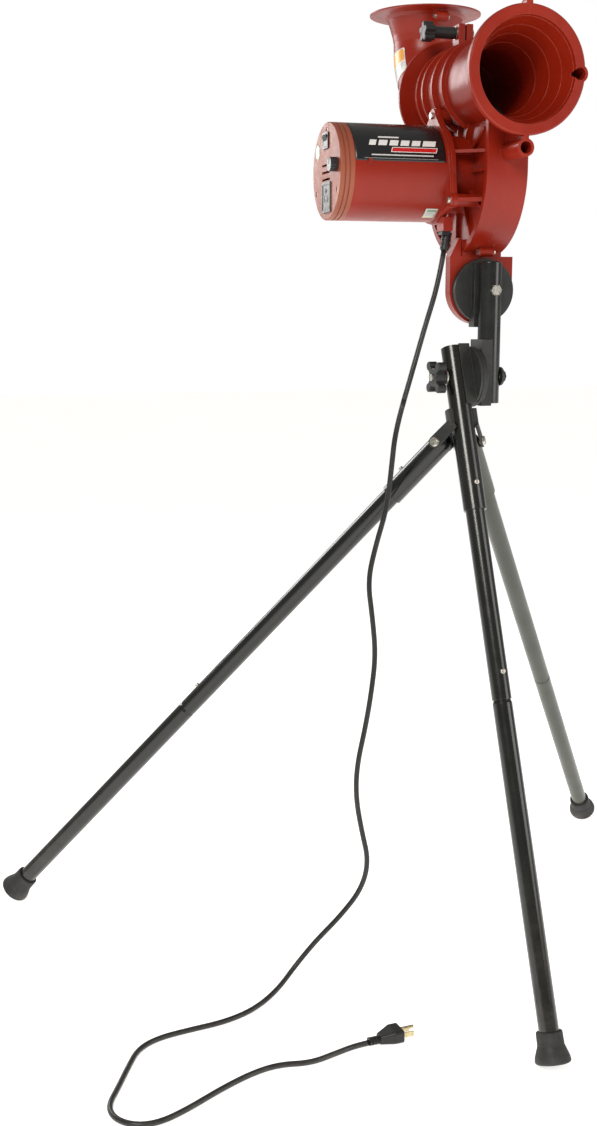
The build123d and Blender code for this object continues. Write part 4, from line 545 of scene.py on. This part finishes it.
def on_panel(across, up):
    """Places the round sticker flat on the end panel, its middle at across, up."""
    def place(u, v):
        y = AXLE.y + (across + QUALITY_RADIUS - u) * MM
        z = AXLE.z + (up - QUALITY_RADIUS + v) * MM
        return Vector((CAP[0].x - LIFT, y, z))
    return place


patch("quality_sticker", QUALITY_SIZE, QUALITY_SIZE, [QUALITY_RADIUS] * 4, on_panel(*QUALITY_AT), "head",
      quality_print.finished(0.35, 0.5), slot="zinc_steel")

# warning sticker on the motor side of the chute's bend: an orange band over a white field
WARNING_WIDTH = 40
WARNING_HEIGHT = 44
warning_print = Print("warning_print", WARNING_WIDTH, WARNING_HEIGHT, (0.78, 0.78, 0.75))
warning_print.bar((0.80, 0.34, 0.02), 2, 38, 22, 42)
for line in (17.0, 13.5, 10.0, 6.5):
    warning_print.bar((0.20, 0.20, 0.20), 5, 28 + line / 2, line, line + 1.1)
ELBOW_RADIUS = 90.0
ELBOW_OUT = 45.0               # the bend's own outer radius
ELBOW_CENTRE = (165.0, 1295.0)          # y and z of the bend's centre, from the mast's foot
WARNING_ALONG = math.radians(54.0)
WARNING_ROUND = math.radians(112.0)


def on_elbow(u, v):
    """u runs round the tube from its inner side, v along the bend from its low end."""
    along = WARNING_ALONG + v / ELBOW_RADIUS
    round_tube = WARNING_ROUND - u / ELBOW_OUT
    out = ELBOW_OUT + LIFT / MM
    reach = ELBOW_RADIUS - out * math.cos(round_tube)
    x = -out * math.sin(round_tube)
    y = ELBOW_CENTRE[0] + reach * math.sin(along)
    z = ELBOW_CENTRE[1] - reach * math.cos(along)
    return from_mast(x, y, z)


patch("warning_sticker", WARNING_WIDTH, WARNING_HEIGHT, (2, 2, 2, 2), on_elbow, "chute",
      warning_print.finished(0.3, 0.45), slot="zinc_steel")


# ------------------------------------------------------------------ cord
CORD_RADIUS = 3.5
CORD_DROP = [
    (-54, 31, 993),
    (-65, 23, 948),
    (-86, 11, 897),
    (-107, 1, 838),
    (-119, -0.5, 799),
]
CORD_LEAD = [
    (-119, -0.5, 799),
    (-131, -2, 760),
    (-137, -5, 712),
    (-144, -8, 657),
    (-160, -9, 606),
    (-171, -11, 560),
    (-166, -17, 512),
    (-163, -23, 462),
    (-169, -26, 415),
    (-178, -28, 365),
    (-191, -31, 312),
    (-193, -34, 268),
    (-186, -39, 222),
    (-177, -43, 180),
    (-186, -41, 140),
    (-214, -34, 101),
    (-246, -26, 66),
    (-275, -25, 33),
    (-306, -45, 11),
    (-345, -74, 3.5),
    (-390, -96, 3.5),
    (-440, -104, 3.5),
    (-482, -113, 3.5),
    (-511, -133, 3.5),
    (-529, -170, 3.5),
    (-549, -215, 3.5),
    (-566, -250, 3.5),
    (-563, -278, 3.5),
    (-543, -298, 3.5),
    (-515, -300, 3.5),
    (-480, -283, 3.5),
    (-430, -250, 3.5),
    (-385, -226, 3.5),
    (-350, -217, 3.5),
    (-312, -224, 3.5),
    (-276, -211, 3.5),
    (-246, -200, 3.5),
    (-228, -198, 3.5),
]


def nurbs_points(points):
    """The points that a smooth NURBS route through these control points gives."""
    curve = bpy.data.curves.new("route", "CURVE")
    curve.dimensions = "3D"
    curve.resolution_u = 6
    spline = curve.splines.new("NURBS")
    spline.points.add(len(points) - 1)
    for point, place in zip(spline.points, points):
        point.co = (*from_mast(*place), 1.0)
    spline.order_u = 3
    spline.use_endpoint_u = True
    carrier = bpy.data.objects.new("route", curve)
    line = bpy.data.meshes.new_from_object(carrier)
    made = [vertex.co.copy() for vertex in line.vertices]
    bpy.data.objects.remove(carrier)
    bpy.data.curves.remove(curve)
    bpy.data.meshes.remove(line)
    return made


def tube(name, points, radius, sides=16):
    """A round tube along the points, closed at both ends, its rings square to the route."""
    rings = len(points)
    ways = []
    for i in range(rings):
        ways.append((points[min(i + 1, rings - 1)] - points[max(i - 1, 0)]).normalized())
    side = ways[0].cross(Vector((0, 1, 0))).normalized()
    body = bmesh.new()
    loops = []
    for place, way in zip(points, ways):
        side = (side - way * side.dot(way)).normalized()
        other = way.cross(side)
        ring = []
        for k in range(sides):
            angle = 2 * math.pi * k / sides
            ring.append(body.verts.new(place + (side * math.cos(angle) + other * math.sin(angle)) * radius))
        loops.append(ring)
    for low, high in zip(loops, loops[1:]):
        for k in range(sides):
            body.faces.new((low[k], low[(k + 1) % sides], high[(k + 1) % sides], high[k]))
    body.faces.new(reversed(loops[0]))
    body.faces.new(loops[-1])
    bmesh.ops.recalc_face_normals(body, faces=body.faces[:])
    mesh = bpy.data.meshes.new(name)
    body.to_mesh(mesh)
    body.free()
    for polygon in mesh.polygons:
        polygon.use_smooth = len(polygon.vertices) == 4
    made = bpy.data.objects.new(name, mesh)
    bpy.context.collection.objects.link(made)
    return made


def length_of(points):
    return sum((b - a).length for a, b in zip(points, points[1:]))


drop_points = nurbs_points(CORD_DROP)
lead_points = nurbs_points(CORD_LEAD)
cord_drop = tube("cord_drop", drop_points, CORD_RADIUS * MM)
cord_drop.data.materials.append(CORD)
cord_lead = tube("cord_lead", lead_points, CORD_RADIUS * MM)
cord_lead.data.materials.append(CORD)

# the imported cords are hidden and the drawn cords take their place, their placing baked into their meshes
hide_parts("power_cord_drop")
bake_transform(cord_drop)
tuple(drop_points[0])
length_of(drop_points)
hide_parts("power_cord_lead")
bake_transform(cord_lead)
tuple(lead_points[0])
length_of(lead_points)

# ------------------------------------------------------------------ floor, light and camera
floor_mesh = bpy.data.meshes.new("floor")
FLOOR_HALF = 14.0
corners = [(x * FLOOR_HALF, y * FLOOR_HALF, 0) for x, y in ((-1, -1), (1, -1), (1, 1), (-1, 1))]
floor_mesh.from_pydata(corners, [], [(0, 1, 2, 3)])
floor = bpy.data.objects.new("floor", floor_mesh)
bpy.context.collection.objects.link(floor)
floor_paint = Paint("studio_floor")
floor_paint.mottle((0.93, 0.93, 0.93), (0.96, 0.96, 0.96), 1.5)
floor_paint.gloss(0.7, 0.8, 3.0)
floor_paint.set(Emission_Color=(1.0, 0.99, 0.97, 1.0), Emission_Strength=0.72)
floor_mesh.materials.append(floor_paint.done())

world = bpy.data.worlds.new("studio")
world.use_nodes = True
sky = world.node_tree.nodes["Background"]
sky.inputs["Color"].default_value = (1.0, 0.985, 0.96, 1.0)
sky.inputs["Strength"].default_value = 0.30
backdrop = world.node_tree.nodes.new("ShaderNodeBackground")
backdrop.inputs["Color"].default_value = (1.0, 1.0, 1.0, 1.0)
seen = world.node_tree.nodes.new("ShaderNodeLightPath")
choose = world.node_tree.nodes.new("ShaderNodeMixShader")
world.node_tree.links.new(seen.outputs["Is Camera Ray"], choose.inputs["Fac"])
world.node_tree.links.new(sky.outputs["Background"], choose.inputs[1])
world.node_tree.links.new(backdrop.outputs["Background"], choose.inputs[2])
world.node_tree.links.new(choose.outputs["Shader"], world.node_tree.nodes["World Output"].inputs["Surface"])
bpy.context.scene.world = world
bpy.context.scene.view_settings.view_transform = "Standard"


def soft_light(name, place, target, size, power, colour=(1, 1, 1)):
    lamp = bpy.data.lights.new(name, "AREA")
    lamp.shape = "RECTANGLE"
    lamp.size = size[0]
    lamp.size_y = size[1]
    lamp.energy = power
    lamp.color = colour
    made = bpy.data.objects.new(name, lamp)
    made.location = place
    made.rotation_mode = "QUATERNION"
    made.rotation_quaternion = (Vector(target) - Vector(place)).to_track_quat("-Z", "Y")
    bpy.context.collection.objects.link(made)


HEAD = (MAST.x, MAST.y, 1.1)
soft_light("key", (-1.7, -2.2, 2.5), HEAD, (1.1, 1.1), 52, (1.0, 0.96, 0.90))
soft_light("fill", (2.4, -1.9, 1.5), HEAD, (1.4, 1.8), 22, (1.0, 0.97, 0.94))
soft_light("back", (-1.4, 2.6, 1.9), HEAD, (1.4, 1.4), 34)

CAMERA_FROM_MAST = Vector((-0.764, -1.745, 0.914))
CAMERA_HEADING = Vector((0.2756, 0.9613))
CAMERA_PITCH = math.radians(10.2)
SENSOR = 36.0                  # millimetres
FOCAL_LENGTH = 44.76           # millimetres
lens = bpy.data.cameras.new("camera")
lens.sensor_width = SENSOR
lens.lens = FOCAL_LENGTH
camera = bpy.data.objects.new("camera", lens)
camera.location = MAST + CAMERA_FROM_MAST
ahead = CAMERA_HEADING.normalized() * math.cos(CAMERA_PITCH)
camera.rotation_mode = "QUATERNION"
camera.rotation_quaternion = Vector((*ahead, -math.sin(CAMERA_PITCH))).to_track_quat("-Z", "Y")
bpy.context.collection.objects.link(camera)
bpy.context.scene.camera = camera
